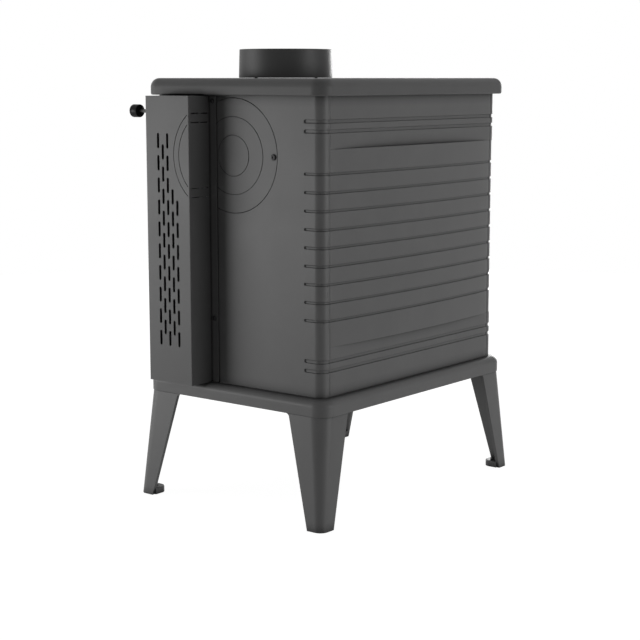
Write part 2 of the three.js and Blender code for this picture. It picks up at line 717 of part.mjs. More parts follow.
const rodY = halfDepth + AIR_ROD_DEPTH;
const rodZ = bodyZ + AIR_ROD_HEIGHT;
const portX = [boxLeft + AIR_PORT_OFFSET, boxLeft + AIR_PORT_OFFSET + AIR_PORT_WIDTH];

function boxScrewHole(x, z) {
  return clearHole([x, 0, z], "y", AIR_BOX_SCREW_RADIUS, [boxScrewTip - 1, boxBackY]);
}

const leftPanel = sidePanel();
place(stove, "side_panel_left", leftPanel, CAST_IRON);
const rightPanel = cut(leftPanel, ...boxScrewZ.map((z) => boxScrewHole(-boxScrewRight, z)));
place(stove, "side_panel_right", rightPanel, CAST_IRON).scale.x = -1;

const coverScrewReach = COVER_RADIUS - COVER_SCREW_INSET;
const coverScrewTip = insideY + JOINT_GAP;

function coverScrewHole(side) {
  const reach = [insideY - 1, halfDepth + 1];
  const x = OUTLET_OFFSET + side * coverScrewReach;
  return clearHole([x, 0, outletZ], "y", COVER_SCREW_RADIUS, reach);
}

function flatPanel(halfX, near, far) {
  return block([-halfX, halfX], [near, far], [panelBottom, panelTop]);
}

function backPanel() {
  const through = [insideY - 1, halfDepth + 1];
  const recess = [halfDepth - COVER_THICK - JOINT_GAP, halfDepth + 1];
  const inletX = [boxMiddle - INLET_WIDTH / 2, boxMiddle + INLET_WIDTH / 2];
  const inletZ = [bodyZ + INLET_SILL, bodyZ + INLET_SILL + INLET_HEIGHT];
  return cut(
    flatPanel(halfWidth - RETURN_BACK, insideY, halfDepth),
    prism(circle(COVER_RADIUS + JOINT_GAP, OUTLET_OFFSET, outletZ, WIDE_SIDES), "y", recess),
    prism(circle(OUTLET_RADIUS, OUTLET_OFFSET, outletZ, WIDE_SIDES), "y", through),
    block(portX, through, [rodZ - AIR_PORT_HEIGHT / 2, rodZ + AIR_PORT_HEIGHT / 2]),
    block(inletX, through, inletZ),
    coverScrewHole(-1),
    coverScrewHole(1),
    ...boxScrewZ.map((z) => boxScrewHole(boxScrewLeft, z)),
  );
}

function rearCover() {
  const outline = circle(COVER_RADIUS, OUTLET_OFFSET, outletZ, WIDE_SIDES);
  const disc = prism(outline, "y", [halfDepth - COVER_THICK, halfDepth]);
  return cut(disc, coverScrewHole(-1), coverScrewHole(1));
}

place(stove, "back_panel", backPanel(), CAST_IRON);
place(stove, "rear_flue_cover", rearCover(), CAST_IRON);
const coverScrewSeat = halfDepth + JOINT_GAP;
const coverScrewGrip = coverScrewSeat - coverScrewTip;
const coverScrew = headed(COVER_SCREW_HEAD_RADIUS, COVER_SCREW_RADIUS, COVER_SCREW_RADIUS, coverScrewGrip);
for (const { name, side } of SIDES) {
  const at = [OUTLET_OFFSET + side * coverScrewReach, coverScrewSeat, outletZ];
  place(stove, `cover_screw_${name}`, coverScrew, BLACK_SCREW, at, Y);
}

// ---------- Air box ----------

function stadium(x, z) {
  const radius = SLOT_WIDTH / 2;
  const reach = SLOT_LENGTH / 2 - radius;
  return [...arc(x, z + reach, radius, 0, 180, 2), ...arc(x, z - reach, radius, 180, 360, 2)];
}

// Staggered columns of slots that stay clear of the knock-out ring round the rear outlet.
function slotCuts() {
  const cuts = [];
  const through = [boxBackY - AIR_BOX_SHEET - 1, boxBackY + 1];
  for (let column = 0; column < SLOT_COLUMNS; column += 1) {
    const x = boxMiddle + ((SLOT_COLUMNS - 1) / 2 - column) * SLOT_PITCH_ACROSS;
    const odd = column % 2;
    const top = bodyZ + SLOT_TOP - (odd * SLOT_PITCH_UP) / 2;
    for (let row = 0; row < SLOT_ROWS - odd; row += 1) {
      const z = top - row * SLOT_PITCH_UP;
      const nearestX = x - SLOT_WIDTH / 2 - OUTLET_OFFSET;
      const nearestZ = Math.max(0, Math.abs(z - outletZ) - SLOT_LENGTH / 2);
      const clear = Math.hypot(nearestX, nearestZ) > KNOCKOUT_RADIUS + KNOCKOUT_CLEARANCE;
      if (clear) cuts.push(prism(stadium(x, z), "y", through));
    }
  }
  return cuts;
}

// The knock-out for a rear flue pipe breaks out along slits in the inner wall of the box.
function knockoutSlits() {
  const slits = [];
  for (const radius of [KNOCKOUT_RADIUS, KNOCKOUT_INNER_RADIUS]) {
    const rise = Math.sqrt(radius ** 2 - (boxLeft - OUTLET_OFFSET) ** 2);
    for (const z of [outletZ - rise, outletZ + rise]) {
      slits.push(
        block(
          [boxLeft - 1, boxLeft + AIR_BOX_SHEET + 1],
          [boxFrontY + AIR_BOX_SHEET + KNOCKOUT_BRIDGE, boxBackY - KNOCKOUT_BRIDGE],
          [z - KNOCKOUT_SLIT / 2, z + KNOCKOUT_SLIT / 2],
        ),
      );
    }
  }
  return slits;
}

function airBox() {
  const sheet = AIR_BOX_SHEET;
  const flangeY = [boxFrontY, boxFrontY + sheet];
  const shell = join(
    block([boxLeft, boxRight], [boxFrontY, boxBackY], [boxBottom, boxTop]),
    block([boxLeft - AIR_BOX_FLANGE, boxLeft + sheet], flangeY, [boxBottom, boxTop]),
    block([boxRight - sheet, boxRight + AIR_BOX_OUTER_FLANGE], flangeY, [boxBottom, boxTop]),
  );
  return cut(
    shell,
    block(
      [boxLeft + sheet, boxRight - sheet],
      [boxFrontY - 1, boxBackY - sheet],
      [boxBottom + sheet, boxTop - sheet],
    ),
    clearHole([0, rodY, rodZ], "x", AIR_ROD_RADIUS, [boxRight - sheet - 1, boxRight + 1]),
    ...boxScrewZ.flatMap((z) => [boxScrewHole(boxScrewLeft, z), boxScrewHole(boxScrewRight, z)]),
    ...slotCuts(),
    ...knockoutSlits(),
  );
}

place(stove, "air_box", airBox(), PAINTED_SHEET);
const boxScrewHead = AIR_BOX_SCREW_RADIUS * SCREW_HEAD;
const boxScrewGrip = boxScrewSeat - boxScrewTip;
const boxScrew = headed(boxScrewHead, AIR_BOX_SCREW_RADIUS, AIR_BOX_SCREW_RADIUS, boxScrewGrip);
for (const [across, x] of [["inner", boxScrewLeft], ["outer", boxScrewRight]]) {
  for (const [i, level] of ["lower", "upper"].entries()) {
    const at = [x, boxScrewSeat, boxScrewZ[i]];
    place(stove, `air_box_screw_${across}_${level}`, boxScrew, BLACK_SCREW, at, Y);
  }
}

// ---------- Air control: rod, knob and shutter, pulled out at rest ----------

const airControl = new THREE.Group();
airControl.position.set(boxRight, rodY, rodZ);
stove.add(airControl);

const shutterX = [
  portX[0] - SHUTTER_LAP + AIR_TRAVEL - boxRight,
  portX[1] + SHUTTER_LAP + AIR_TRAVEL - boxRight,
];
const shutterHalf = AIR_PORT_HEIGHT / 2 + SHUTTER_LAP + 1;
const rodHole = circle(AIR_ROD_RADIUS + JOINT_GAP);

function airShutter() {
  const plateY = boxFrontY - rodY;
  const arm = [shutterX[1] - SHUTTER_SHEET, shutterX[1]];
  const armHalf = 2 * AIR_ROD_RADIUS;
  const plate = block(shutterX, [plateY, plateY + SHUTTER_SHEET], [-shutterHalf, shutterHalf]);
  const web = block(arm, [plateY, armHalf], [-armHalf, armHalf]);
  return cut(plate.add(web), prism(rodHole, "x", [arm[0] - 1, arm[1] + 1]));
}

function airKnob() {
  const [radius, length] = [AIR_KNOB_RADIUS, AIR_KNOB_LENGTH];
  const rim = radius / 4;
  const body = turned([
    [0, 0],
    [radius, 0],
    [radius, length - rim],
    [radius - rim, length],
    [0, length],
  ]);
  const socket = prism(rodHole, "z", [-1, airSocketDepth]);
  const grub = prism(circle(AIR_KNOB_GRUB_RADIUS, 0, length / 2), "y", [radius / 2, radius + 1]);
  return cut(body, socket, grub);
}

const airSocketDepth = AIR_KNOB_LENGTH - AIR_KNOB_END;
const rodStart = shutterX[1] - 2 * SHUTTER_SHEET;
const rodEnd = AIR_KNOB_STANDOFF + airSocketDepth - JOINT_GAP;
place(airControl, "air_shutter", airShutter(), BRIGHT_STEEL);
place(airControl, "air_rod", prism(circle(AIR_ROD_RADIUS), "x", [rodStart, rodEnd]), BRIGHT_STEEL);
place(airControl, "air_knob", airKnob(), BLACK_PLASTIC, [AIR_KNOB_STANDOFF, 0, 0], X);

// ---------- Front frame, hinge lugs and latch keeper ----------

const doorBack = -(halfDepth + DOOR_STANDOFF);
const doorHalf = [mouthHalf + DOOR_LAP, mouthRise + DOOR_LAP];
const hingeX = -(doorHalf[0] + HINGE_OUTSET);
const knuckleY = -DOOR_THICK / 2;
const knuckleRadius = DOOR_THICK / 2;
const hingeY = doorBack + knuckleY;
const hingeLevels = [-HINGE_SPREAD / 2, HINGE_SPREAD / 2];
const handleX = doorHalf[0] + HANDLE_OUTSET;
const keeperX = [handleX + HANDLE_EAR_RADIUS + KEEPER_GAP, halfWidth - RETURN_FRONT - 2 * JOINT_GAP];
const keeperScrewX = (keeperX[0] + keeperX[1]) / 2;
const keeperScrewZ = mouthZ - (KEEPER_HEIGHT + KEEPER_FOOT) / 2;

function keeperScrewHole(reach) {
  return clearHole([keeperScrewX, 0, keeperScrewZ], "y", KEEPER_SCREW_RADIUS, reach);
}

function frontFrame() {
  const through = [-halfDepth - 1, -insideY + 1];
  const across = [-mouthHalf, mouthHalf];
  const mouth = roundedRectangle(across, [mouthZ - mouthRise, mouthZ + mouthRise], DOOR_CORNER_RADIUS);
  const plate = cut(
    flatPanel(halfWidth - RETURN_FRONT, -halfDepth, -insideY),
    prism(mouth, "y", through),
    block(across, through, [drawerZ, drawerZ + DRAWER_MOUTH_HEIGHT]),
  );
  const lugs = [];
  const bores = [];
  const lugX = [hingeX - knuckleRadius, hingeX + knuckleRadius];
  for (const level of hingeLevels) {
    const z = mouthZ + level;
    const rise = [z - LUG_LENGTH, z - JOINT_GAP];
    lugs.push(prism(circle(knuckleRadius, hingeX, hingeY), "z", rise));
    lugs.push(block(lugX, [hingeY, -halfDepth + 1], rise));
    bores.push(clearHole([hingeX, hingeY, 0], "z", HINGE_PIN_RADIUS, [z - HINGE_PIN_SINK - 1, z + 1]));
  }
  return cut(join(plate, ...lugs), ...bores, keeperScrewHole(through));
}

// A bracket that the cam turns in behind, with a foot screwed to the front frame.
function latchKeeper() {
  const face = -halfDepth - JOINT_GAP;
  const hook = doorBack - 2 * JOINT_GAP;
  const postX = keeperX[1] - KEEPER_THICK;
  const low = mouthZ - KEEPER_HEIGHT / 2;
  const rise = [low, low + KEEPER_HEIGHT];
  const bracket = join(
    block(keeperX, [hook - KEEPER_THICK, hook], rise),
    block([postX, keeperX[1]], [hook - KEEPER_THICK, face], rise),
    block(keeperX, [face - KEEPER_THICK, face], [low - KEEPER_FOOT, low + 1]),
  );
  return cut(bracket, keeperScrewHole([face - KEEPER_THICK - 1, face + 1]));
}

place(stove, "front_frame", frontFrame(), CAST_IRON);
place(stove, "latch_keeper", latchKeeper(), BRIGHT_STEEL);
const front = Y.clone().negate();
const keeperSeat = -halfDepth - KEEPER_THICK - 2 * JOINT_GAP;
const keeperGrip = -insideY - 1 - keeperSeat;
const keeperHead = KEEPER_SCREW_RADIUS * SCREW_HEAD;
const keeperScrew = headed(keeperHead, KEEPER_SCREW_RADIUS, KEEPER_SCREW_RADIUS, keeperGrip);
place(stove, "keeper_screw", keeperScrew, BLACK_SCREW, [keeperScrewX, keeperSeat, keeperScrewZ], front);

const pinRise = KNUCKLE_LENGTH + JOINT_GAP;
const pinLength = pinRise + HINGE_PIN_SINK;
const hingePin = headed(HINGE_PIN_HEAD_RADIUS, HINGE_PIN_HEAD_HEIGHT, HINGE_PIN_RADIUS, pinLength);
for (const [i, level] of ["lower", "upper"].entries()) {
  const at = [hingeX, hingeY, mouthZ + hingeLevels[i] + pinRise];
  place(stove, `hinge_pin_${level}`, hingePin, BRIGHT_STEEL, at);
}

// ---------- Door: its group stands at the middle of its back face ----------

const door = new THREE.Group();
door.position.set(0, doorBack, mouthZ);
stove.add(door);

const windowHalf = [WINDOW_WIDTH / 2, WINDOW_HEIGHT / 2];
const glassHalf = [windowHalf[0] + GLASS_LAP, windowHalf[1] + GLASS_LAP];
const rebateDepth = GLASS_THICK + GASKET_THICK + 2 * JOINT_GAP;
const ropeRise = windowHalf[1] + RETAINER_WIDTH + RETAINER_ROOM + ROPE_WIDTH / 2;
const ropeHalf = [mouthHalf + ROPE_OUTSET, Math.max(mouthRise + ROPE_OUTSET, ropeRise)];

function centred([halfX, halfZ], grow, corner) {
  return roundedRectangle([-halfX - grow, halfX + grow], [-halfZ - grow, halfZ + grow], corner + grow);
}

function ropeOutline(half) {
  const [outer, inner] = [half, -half].map((grow) => centred(ropeHalf, grow, ROPE_CORNER_RADIUS));
  return withHole(outer, inner);
}

const retainerScrewZ = glassHalf[1] + JOINT_GAP + RETAINER_SCREW_INSET;

function doorFrame() {
  const halfRope = ROPE_WIDTH / 2 + JOINT_GAP;
  const thick = [-DOOR_THICK, 0];
  const pane = centred(windowHalf, 0, WINDOW_CORNER_RADIUS);
  const slab = prism(withHole(centred(doorHalf, 0, DOOR_CORNER_RADIUS), pane), "y", thick);
  const added = [
    prism(circle(HANDLE_EAR_RADIUS, handleX, 0), "y", thick),
    block([doorHalf[0] - 1, handleX], thick, [-HANDLE_EAR_RADIUS, HANDLE_EAR_RADIUS]),
  ];
  const tools = [
    prism(centred(glassHalf, JOINT_GAP, GLASS_CORNER_RADIUS), "y", [-rebateDepth, 1]),
    prism(ropeOutline(halfRope), "y", [-ROPE_CHANNEL_DEPTH, 1]),
    clearHole([handleX, 0, 0], "y", SPINDLE_RADIUS, [-DOOR_THICK - 1, 1]),
  ];
  for (const level of hingeLevels) {
    const knuckle = [level, level + KNUCKLE_LENGTH];
    added.push(prism(circle(knuckleRadius, hingeX, knuckleY), "z", knuckle));
    added.push(block([hingeX, -doorHalf[0] + 1], thick, knuckle));
    tools.push(clearHole([hingeX, knuckleY, 0], "z", HINGE_PIN_RADIUS, [knuckle[0] - 1, knuckle[1] + 1]));
  }
  for (const side of [-1, 1]) {
    const hole = [-ROPE_CHANNEL_DEPTH - RETAINER_SCREW_BITE, 1];
    tools.push(clearHole([0, 0, side * retainerScrewZ], "y", RETAINER_SCREW_RADIUS, hole));
  }
  return cut(join(slab, ...added), ...tools);
}

const ropeReach = [-ROPE_CHANNEL_DEPTH + JOINT_GAP, DOOR_STANDOFF - JOINT_GAP];
const glassOutline = centred(glassHalf, 0, GLASS_CORNER_RADIUS);
const gasketInside = centred(glassHalf, -GASKET_WIDTH, GASKET_WIDTH + 1);
const gasketBack = -GLASS_THICK - JOINT_GAP;
const gasketReach = [gasketBack - GASKET_THICK, gasketBack];
place(door, "door_frame", doorFrame(), CAST_IRON);
place(door, "door_rope", prism(ropeOutline(ROPE_WIDTH / 2), "y", ropeReach), GLASS_ROPE);
place(door, "door_glass", prism(glassOutline, "y", [-GLASS_THICK, 0]), DARK_GLASS);
place(door, "glass_gasket", prism(withHole(glassOutline, gasketInside), "y", gasketReach), GLASS_ROPE);

// Two strips behind the glass, each with one screw into the door frame.
const retainerReach = [JOINT_GAP, JOINT_GAP + RETAINER_SHEET];
const retainerSeat = retainerReach[1] + JOINT_GAP;
const retainerHead = RETAINER_SCREW_RADIUS * SCREW_HEAD;
const retainerGrip = retainerSeat + ROPE_CHANNEL_DEPTH;
const retainerScrew = headed(retainerHead, RETAINER_SCREW_HEAD_HEIGHT, RETAINER_SCREW_RADIUS, retainerGrip);
for (const [level, side] of [["lower", -1], ["upper", 1]]) {
  const inner = side * windowHalf[1];
  const rise = [inner, inner + side * RETAINER_WIDTH].sort((a, b) => a - b);
  const strip = block([-RETAINER_LENGTH / 2, RETAINER_LENGTH / 2], retainerReach, rise);
  const z = side * retainerScrewZ;
  const hole = clearHole([0, 0, z], "y", RETAINER_SCREW_RADIUS, [0, retainerReach[1] + 1]);
  place(door, `glass_retainer_${level}`, cut(strip, hole), BRIGHT_STEEL);
  place(door, `retainer_screw_${level}`, retainerScrew, BLACK_SCREW, [0, retainerSeat, z], Y);
}

// ---------- Handle: hangs down when released, and a quarter turn latches the door ----------

const handle = new THREE.Group();
handle.position.set(handleX, 0, 0);
door.add(handle);

const hubY = [-DOOR_THICK - JOINT_GAP - LEVER_HUB_THICK, -DOOR_THICK - JOINT_GAP];
const camReach = [JOINT_GAP, JOINT_GAP + CAM_THICK];

function spindle() {
  const seat = hubY[0] - JOINT_GAP;
  return join(
    prism(circle(SPINDLE_RADIUS), "y", [seat - 1, 0]),
    prism(circle(SPINDLE_HEAD_RADIUS), "y", [seat - SPINDLE_HEAD_THICK, seat]),
    prism(circle(SPINDLE_TANG_RADIUS), "y", [-1, camReach[1]]),
  );
}

// A hub on the spindle, a neck that steps out clear of the door, and a rod down into the grip.
function lever() {
  const across = [-LEVER_ROD_RADIUS, LEVER_ROD_RADIUS];
  const neckTop = -SPINDLE_HEAD_RADIUS - NECK_ROOM;
  const neckLow = neckTop - 2 * LEVER_ROD_RADIUS;
  const parts = [
    prism(circle(HANDLE_EAR_RADIUS), "y", hubY),
    block(across, hubY, [neckLow, -SPINDLE_RADIUS]),
    block(across, [-LEVER_OFFSET - LEVER_ROD_RADIUS, hubY[1]], [neckLow, neckTop]),
    prism(circle(LEVER_ROD_RADIUS, 0, -LEVER_OFFSET), "z", [-LEVER_REACH, neckLow + 1]),
  ];
  return cut(join(...parts), clearHole([0, 0, 0], "y", SPINDLE_RADIUS, [hubY[0] - 1, hubY[1] + 1]));
}

const gripLow = -LEVER_REACH - GRIP_END;

function grip() {
  const body = turned([
    [0, 0],
    [GRIP_END_RADIUS, 0],
    [GRIP_RADIUS, GRIP_RADIUS],
    [GRIP_RADIUS, GRIP_LENGTH - 2 * GRIP_RADIUS],
    [GRIP_END_RADIUS, GRIP_LENGTH],
    [0, GRIP_LENGTH],
  ]);
  return cut(body, clearHole([0, 0, 0], "z", LEVER_ROD_RADIUS, [GRIP_END - JOINT_GAP, GRIP_LENGTH + 1]));
}

function cam() {
  const half = CAM_WIDTH / 2;
  const outline = [...arc(0, CAM_LENGTH - half, half, 0, 180), ...arc(0, 0, CAM_HUB_RADIUS, 180, 360)];
  const hole = clearHole([0, 0, 0], "y", SPINDLE_TANG_RADIUS, [0, camReach[1] + 1]);
  return cut(prism(outline, "y", camReach), hole);
}

place(handle, "handle_spindle", spindle(), BRIGHT_STEEL);
place(handle, "handle_lever", lever(), BRIGHT_STEEL);
place(handle, "handle_grip", grip(), BLACK_PLASTIC, [0, -LEVER_OFFSET, gripLow]);
place(handle, "latch_cam", cam(), BRIGHT_STEEL);

// ---------- Ash drawer: its group stands at the sill of its mouth ----------

const drawer = new THREE.Group();
drawer.position.set(0, -halfDepth - JOINT_GAP, drawerZ);
stove.add(drawer);

const panHalf = mouthHalf - PAN_SIDE_GAP;
const drawerMiddle = DRAWER_MOUTH_HEIGHT / 2;

function stemHole(reach) {
  return clearHole([0, 0, drawerMiddle], "y", DRAWER_STEM_RADIUS, reach);
}

function drawerFront() {
  const outline = roundedRectangle(
    [-doorHalf[0], doorHalf[0]],
    [-DRAWER_FRONT_LAP, DRAWER_MOUTH_HEIGHT + DRAWER_FRONT_LAP],
    DOOR_CORNER_RADIUS,
  );
  return cut(prism(outline, "y", [-DRAWER_FRONT_THICK, 0]), stemHole([-DRAWER_FRONT_THICK - 1, 1]));
}

function ashPan() {
  const [sheet, low] = [PAN_SHEET, PAN_LIFT];
  const outer = block([-panHalf, panHalf], [JOINT_GAP, PAN_LENGTH], [low, low + PAN_HEIGHT]);
  const inner = block(
    [-panHalf + sheet, panHalf - sheet],
    [JOINT_GAP + sheet, PAN_LENGTH - sheet],
    [low + sheet, low + PAN_HEIGHT + 1],
  );
  return cut(outer, inner, stemHole([0, JOINT_GAP + sheet + 1]));
}

function drawerKnob() {
  const [stem, radius, length] = [DRAWER_STEM_RADIUS, DRAWER_KNOB_RADIUS, DRAWER_KNOB_LENGTH];
  const tip = -(DRAWER_FRONT_THICK + JOINT_GAP + PAN_SHEET + stem);
  return turned([
    [0, tip],
    [stem, tip],
    [stem, 0],
    [radius / 2, 0],
    [radius / 2, length / 4],
    [radius, length / 2],
    [radius, length - stem],
    [radius - stem, length],
    [0, length],
  ]);
}

place(drawer, "ash_drawer_front", drawerFront(), CAST_IRON);
place(drawer, "ash_pan", ashPan(), PAINTED_SHEET);
const drawerKnobSeat = -DRAWER_FRONT_THICK - JOINT_GAP;
place(drawer, "ash_drawer_knob", drawerKnob(), BLACK_PLASTIC, [0, drawerKnobSeat, drawerMiddle], front);

function panRunner() {
  const top = drawerZ + PAN_LIFT - JOINT_GAP;
  const guide = panHalf + 2 * JOINT_GAP;
  const outline = [
    point(panHalf - RUNNER_WIDTH, bodyZ + JOINT_GAP),
    point(guide + RUNNER_GUIDE_THICK, bodyZ + JOINT_GAP),
    point(guide + RUNNER_GUIDE_THICK, top + RUNNER_GUIDE_HEIGHT),
    point(guide, top + RUNNER_GUIDE_HEIGHT),
    point(guide, top),
    point(panHalf - RUNNER_WIDTH, top),
  ];
  return prism(outline, "y", [-insideY + PANEL_WALL, PAN_LENGTH - halfDepth + PANEL_WALL]);
}

const runner = panRunner();
place(stove, "pan_runner_right", runner, BRIGHT_STEEL);
place(stove, "pan_runner_left", runner, BRIGHT_STEEL).scale.x = -1;

// ---------- Firebox: grate bed, grate, liners, baffle and log guard ----------

const fitX = insideX - JOINT_GAP;
const fitY = insideY - JOINT_GAP;
const floorZ = bedTop + JOINT_GAP;
const linerHalf = LINER_LENGTH / 2;
const linerTop = (y) => bodyZ + LINER_BACK_TOP + (linerHalf - y) * BAFFLE_SLOPE;

function grateBed() {
  const [halfX, halfY] = [GRATE_WIDTH / 2, GRATE_LENGTH / 2];
  const plate = prism(roundedRectangle([-fitX, fitX], [-fitY, fitY], BED_CORNER_RADIUS), "z", [
    ledgeTop + JOINT_GAP,
    bedTop,
  ]);
  const [seatX, seatY] = [halfX - GRATE_SEAT, halfY - GRATE_SEAT];
  const [rebateX, rebateY] = [halfX + JOINT_GAP, halfY + JOINT_GAP];
  const through = [ledgeTop, bedTop + 1];
  const rods = CORNERS.map(({ side, end }) =>
    clearHole([side * tieX, end * tieY, 0], "z", TIE_ROD_RADIUS + JOINT_GAP, through),
  );
  return cut(
    plate,
    block([-seatX, seatX], [-seatY, seatY], through),
    block([-rebateX, rebateX], [-rebateY, rebateY], [bedTop - GRATE_REBATE, bedTop + 1]),
    ...rods,
  );
}

function grate() {
  const [halfX, halfY] = [GRATE_WIDTH / 2, GRATE_LENGTH / 2];
  const low = bedTop - GRATE_REBATE + JOINT_GAP;
  const slotHalf = halfX - 2 * GRATE_SEAT;
  const count = Math.floor((GRATE_LENGTH - 4 * GRATE_SEAT) / GRATE_SLOT_PITCH);
  const slots = [];
  for (let i = 0; i < count; i += 1) {
    const y = (i - (count - 1) / 2) * GRATE_SLOT_PITCH;
    const across = [y - GRATE_SLOT_WIDTH / 2, y + GRATE_SLOT_WIDTH / 2];
    slots.push(block([-slotHalf, slotHalf], across, [low - 1, low + GRATE_THICK + 1]));
  }
  return cut(block([-halfX, halfX], [-halfY, halfY], [low, low + GRATE_THICK]), ...slots);
}

function sideLiner() {
  const outline = [
    point(-linerHalf, floorZ),
    point(linerHalf, floorZ),
    point(linerHalf, linerTop(linerHalf)),
    point(-linerHalf, linerTop(-linerHalf)),
  ];
  return prism(outline, "x", [-fitX, -fitX + LINER_THICK]);
}

function baffle() {
  const [near, far] = [-(halfDepth - BAFFLE_FRONT_GAP), fitY];
  const half = fitX - LINER_THICK + BAFFLE_LAP;
  const under = (y) => linerTop(y) + JOINT_GAP;
  const outline = [
    point(near, under(near)),
    point(far, under(far)),
    point(far, under(far) + BAFFLE_THICK),
    point(near, under(near) + BAFFLE_THICK),
  ];
  return prism(outline, "x", [-half, half]);
}

function logGuard() {
  const half = GUARD_WIDTH / 2;
  const frontY = -fitY + PANEL_WALL;
  const pitch = GUARD_WIDTH / GUARD_SLOTS;
  const high = [floorZ, floorZ + GUARD_HEIGHT];
  const end = GUARD_THICK * 1.5;
  const pieces = [block([-half, half], [frontY, frontY + GUARD_THICK], high)];
  for (const side of [-1, 1]) {
    const foot = side < 0 ? [-half, -half + end] : [half - end, half];
    pieces.push(block(foot, [frontY, frontY + GUARD_FOOT], [floorZ, floorZ + GUARD_THICK]));
  }
  const slots = [];
  const slotHalf = (pitch - GUARD_THICK) / 2;
  const slotRise = [high[0] + end, high[1] - GUARD_THICK];
  for (let i = 0; i < GUARD_SLOTS; i += 1) {
    const x = (i - (GUARD_SLOTS - 1) / 2) * pitch;
    slots.push(block([x - slotHalf, x + slotHalf], [frontY - 1, frontY + GUARD_THICK + 1], slotRise));
  }
  return cut(join(...pieces), ...slots);
}

const backLinerHalf = BACK_LINER_WIDTH / 2;
const backLinerTop = linerTop(fitY) - BACK_LINER_DROP;
const liner = sideLiner();
place(stove, "grate_bed", grateBed(), FIREBOX_IRON);
place(stove, "grate", grate(), FIREBOX_IRON);
place(stove, "side_liner_left", liner, FIRE_CLAY);
place(stove, "side_liner_right", liner, FIRE_CLAY).scale.x = -1;
place(
  stove,
  "back_liner",
  block([-backLinerHalf, backLinerHalf], [fitY - LINER_THICK, fitY], [floorZ, backLinerTop]),
  FIRE_CLAY,
);
place(stove, "baffle_plate", baffle(), FIREBOX_IRON);
place(stove, "log_guard", logGuard(), FIREBOX_IRON);

export default stove;
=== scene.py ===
"""The looks of the narrow cast-iron wood stove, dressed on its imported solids.

Lengths are in millimetres up to the point where a mesh is made, which is in metres.
"""

import bmesh
import bpy
import json
import math
from mathutils import Matrix, Vector
from mathutils.geometry import tessellate_polygon

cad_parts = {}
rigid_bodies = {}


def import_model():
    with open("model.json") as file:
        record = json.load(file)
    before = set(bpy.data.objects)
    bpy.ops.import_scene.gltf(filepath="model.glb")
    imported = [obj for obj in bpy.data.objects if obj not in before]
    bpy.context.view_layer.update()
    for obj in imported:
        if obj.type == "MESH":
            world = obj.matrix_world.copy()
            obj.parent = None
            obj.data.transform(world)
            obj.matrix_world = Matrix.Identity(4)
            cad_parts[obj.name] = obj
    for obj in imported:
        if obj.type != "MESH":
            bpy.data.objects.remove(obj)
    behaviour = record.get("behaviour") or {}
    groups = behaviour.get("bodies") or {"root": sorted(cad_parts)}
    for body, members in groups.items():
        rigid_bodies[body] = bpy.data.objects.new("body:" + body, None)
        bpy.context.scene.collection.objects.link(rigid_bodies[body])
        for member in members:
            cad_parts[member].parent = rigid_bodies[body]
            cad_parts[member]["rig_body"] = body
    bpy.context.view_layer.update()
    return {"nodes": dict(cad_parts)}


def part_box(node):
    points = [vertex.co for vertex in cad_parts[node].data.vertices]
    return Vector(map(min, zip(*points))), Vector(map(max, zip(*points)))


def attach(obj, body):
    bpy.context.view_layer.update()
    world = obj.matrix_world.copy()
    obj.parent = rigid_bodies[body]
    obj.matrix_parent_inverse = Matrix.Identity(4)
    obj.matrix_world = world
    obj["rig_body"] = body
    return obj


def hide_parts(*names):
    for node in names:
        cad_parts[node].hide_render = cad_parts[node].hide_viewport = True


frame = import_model()

MM = 0.001
TINY = 1e-6

# ---------- Sizes that several pieces share ----------

GAP = 0.3  # between castings that are bedded together
WALL = 7.0
HALF_WIDTH, HALF_DEPTH = 175.0, 245.5
BASE_LOW, BODY_LOW, BODY_HIGH, LID_HIGH = 180.0, 205.0, 670.0, 697.0
PANEL_LOW, PANEL_HIGH = BODY_LOW + GAP, BODY_HIGH - GAP
BACK_HALF, FRONT_HALF = 130.0, 153.0  # half widths of the back panel and the front frame
BASE_HALF, BASE_FRONT, BASE_BACK, BASE_CORNER = 191.0, -257.5, 261.5, 26.0
FLUE_Y, FLUE_BORE = 121.0, 58.0
OUTLET_X, OUTLET_Z, COVER_RADIUS = 5.0, 575.5, 91.0
DOOR_Z, DOOR_BACK, DOOR_THICK = 470.0, -249.5, 16.0
DOOR_FRONT = DOOR_BACK - DOOR_THICK
HINGE_X, HINGE_Y, HINGE_RADIUS = -137.0, -257.5, 8.0
HINGE_LEVELS = {"lower": 360.0, "upper": 580.0}
HANDLE_X = 135.0

# ---------- Outlines ----------

NEAR_HALF = 0.49  # of a side, so that two rounded corners never meet
LEAST_SPREAD = 0.3  # keeps a sharp corner from shooting out when an outline shrinks


def arc(centre, radius, start, end, steps=8):
    """Points from one angle to another, in degrees."""
    points = []
    for i in range(steps + 1):
        turn = math.radians(start + (end - start) * i / steps)
        points.append((centre[0] + radius * math.cos(turn), centre[1] + radius * math.sin(turn)))
    return points


def circle(centre, radius, sides=64):
    return arc(centre, radius, 0, 360, sides)[:-1]


def rounded(across, up, radius, steps=8):
    """A rectangle between [low, high] pairs with rounded corners."""
    (left, right), (low, high) = across, up
    return (
        arc((right - radius, high - radius), radius, 0, 90, steps)
        + arc((left + radius, high - radius), radius, 90, 180, steps)
        + arc((left + radius, low + radius), radius, 180, 270, steps)
        + arc((right - radius, low + radius), radius, 270, 360, steps)
    )


def rectangle(across, up):
    return [(across[0], up[0]), (across[1], up[0]), (across[1], up[1]), (across[0], up[1])]


def about(middle, half):
    """The [low, high] pair that lies this far to either side of a middle."""
    return (middle - half, middle + half)


def counter_clockwise(outline):
    area = sum(a[0] * b[1] - b[0] * a[1] for a, b in zip(outline, outline[1:] + outline[:1]))
    return outline if area > 0 else outline[::-1]


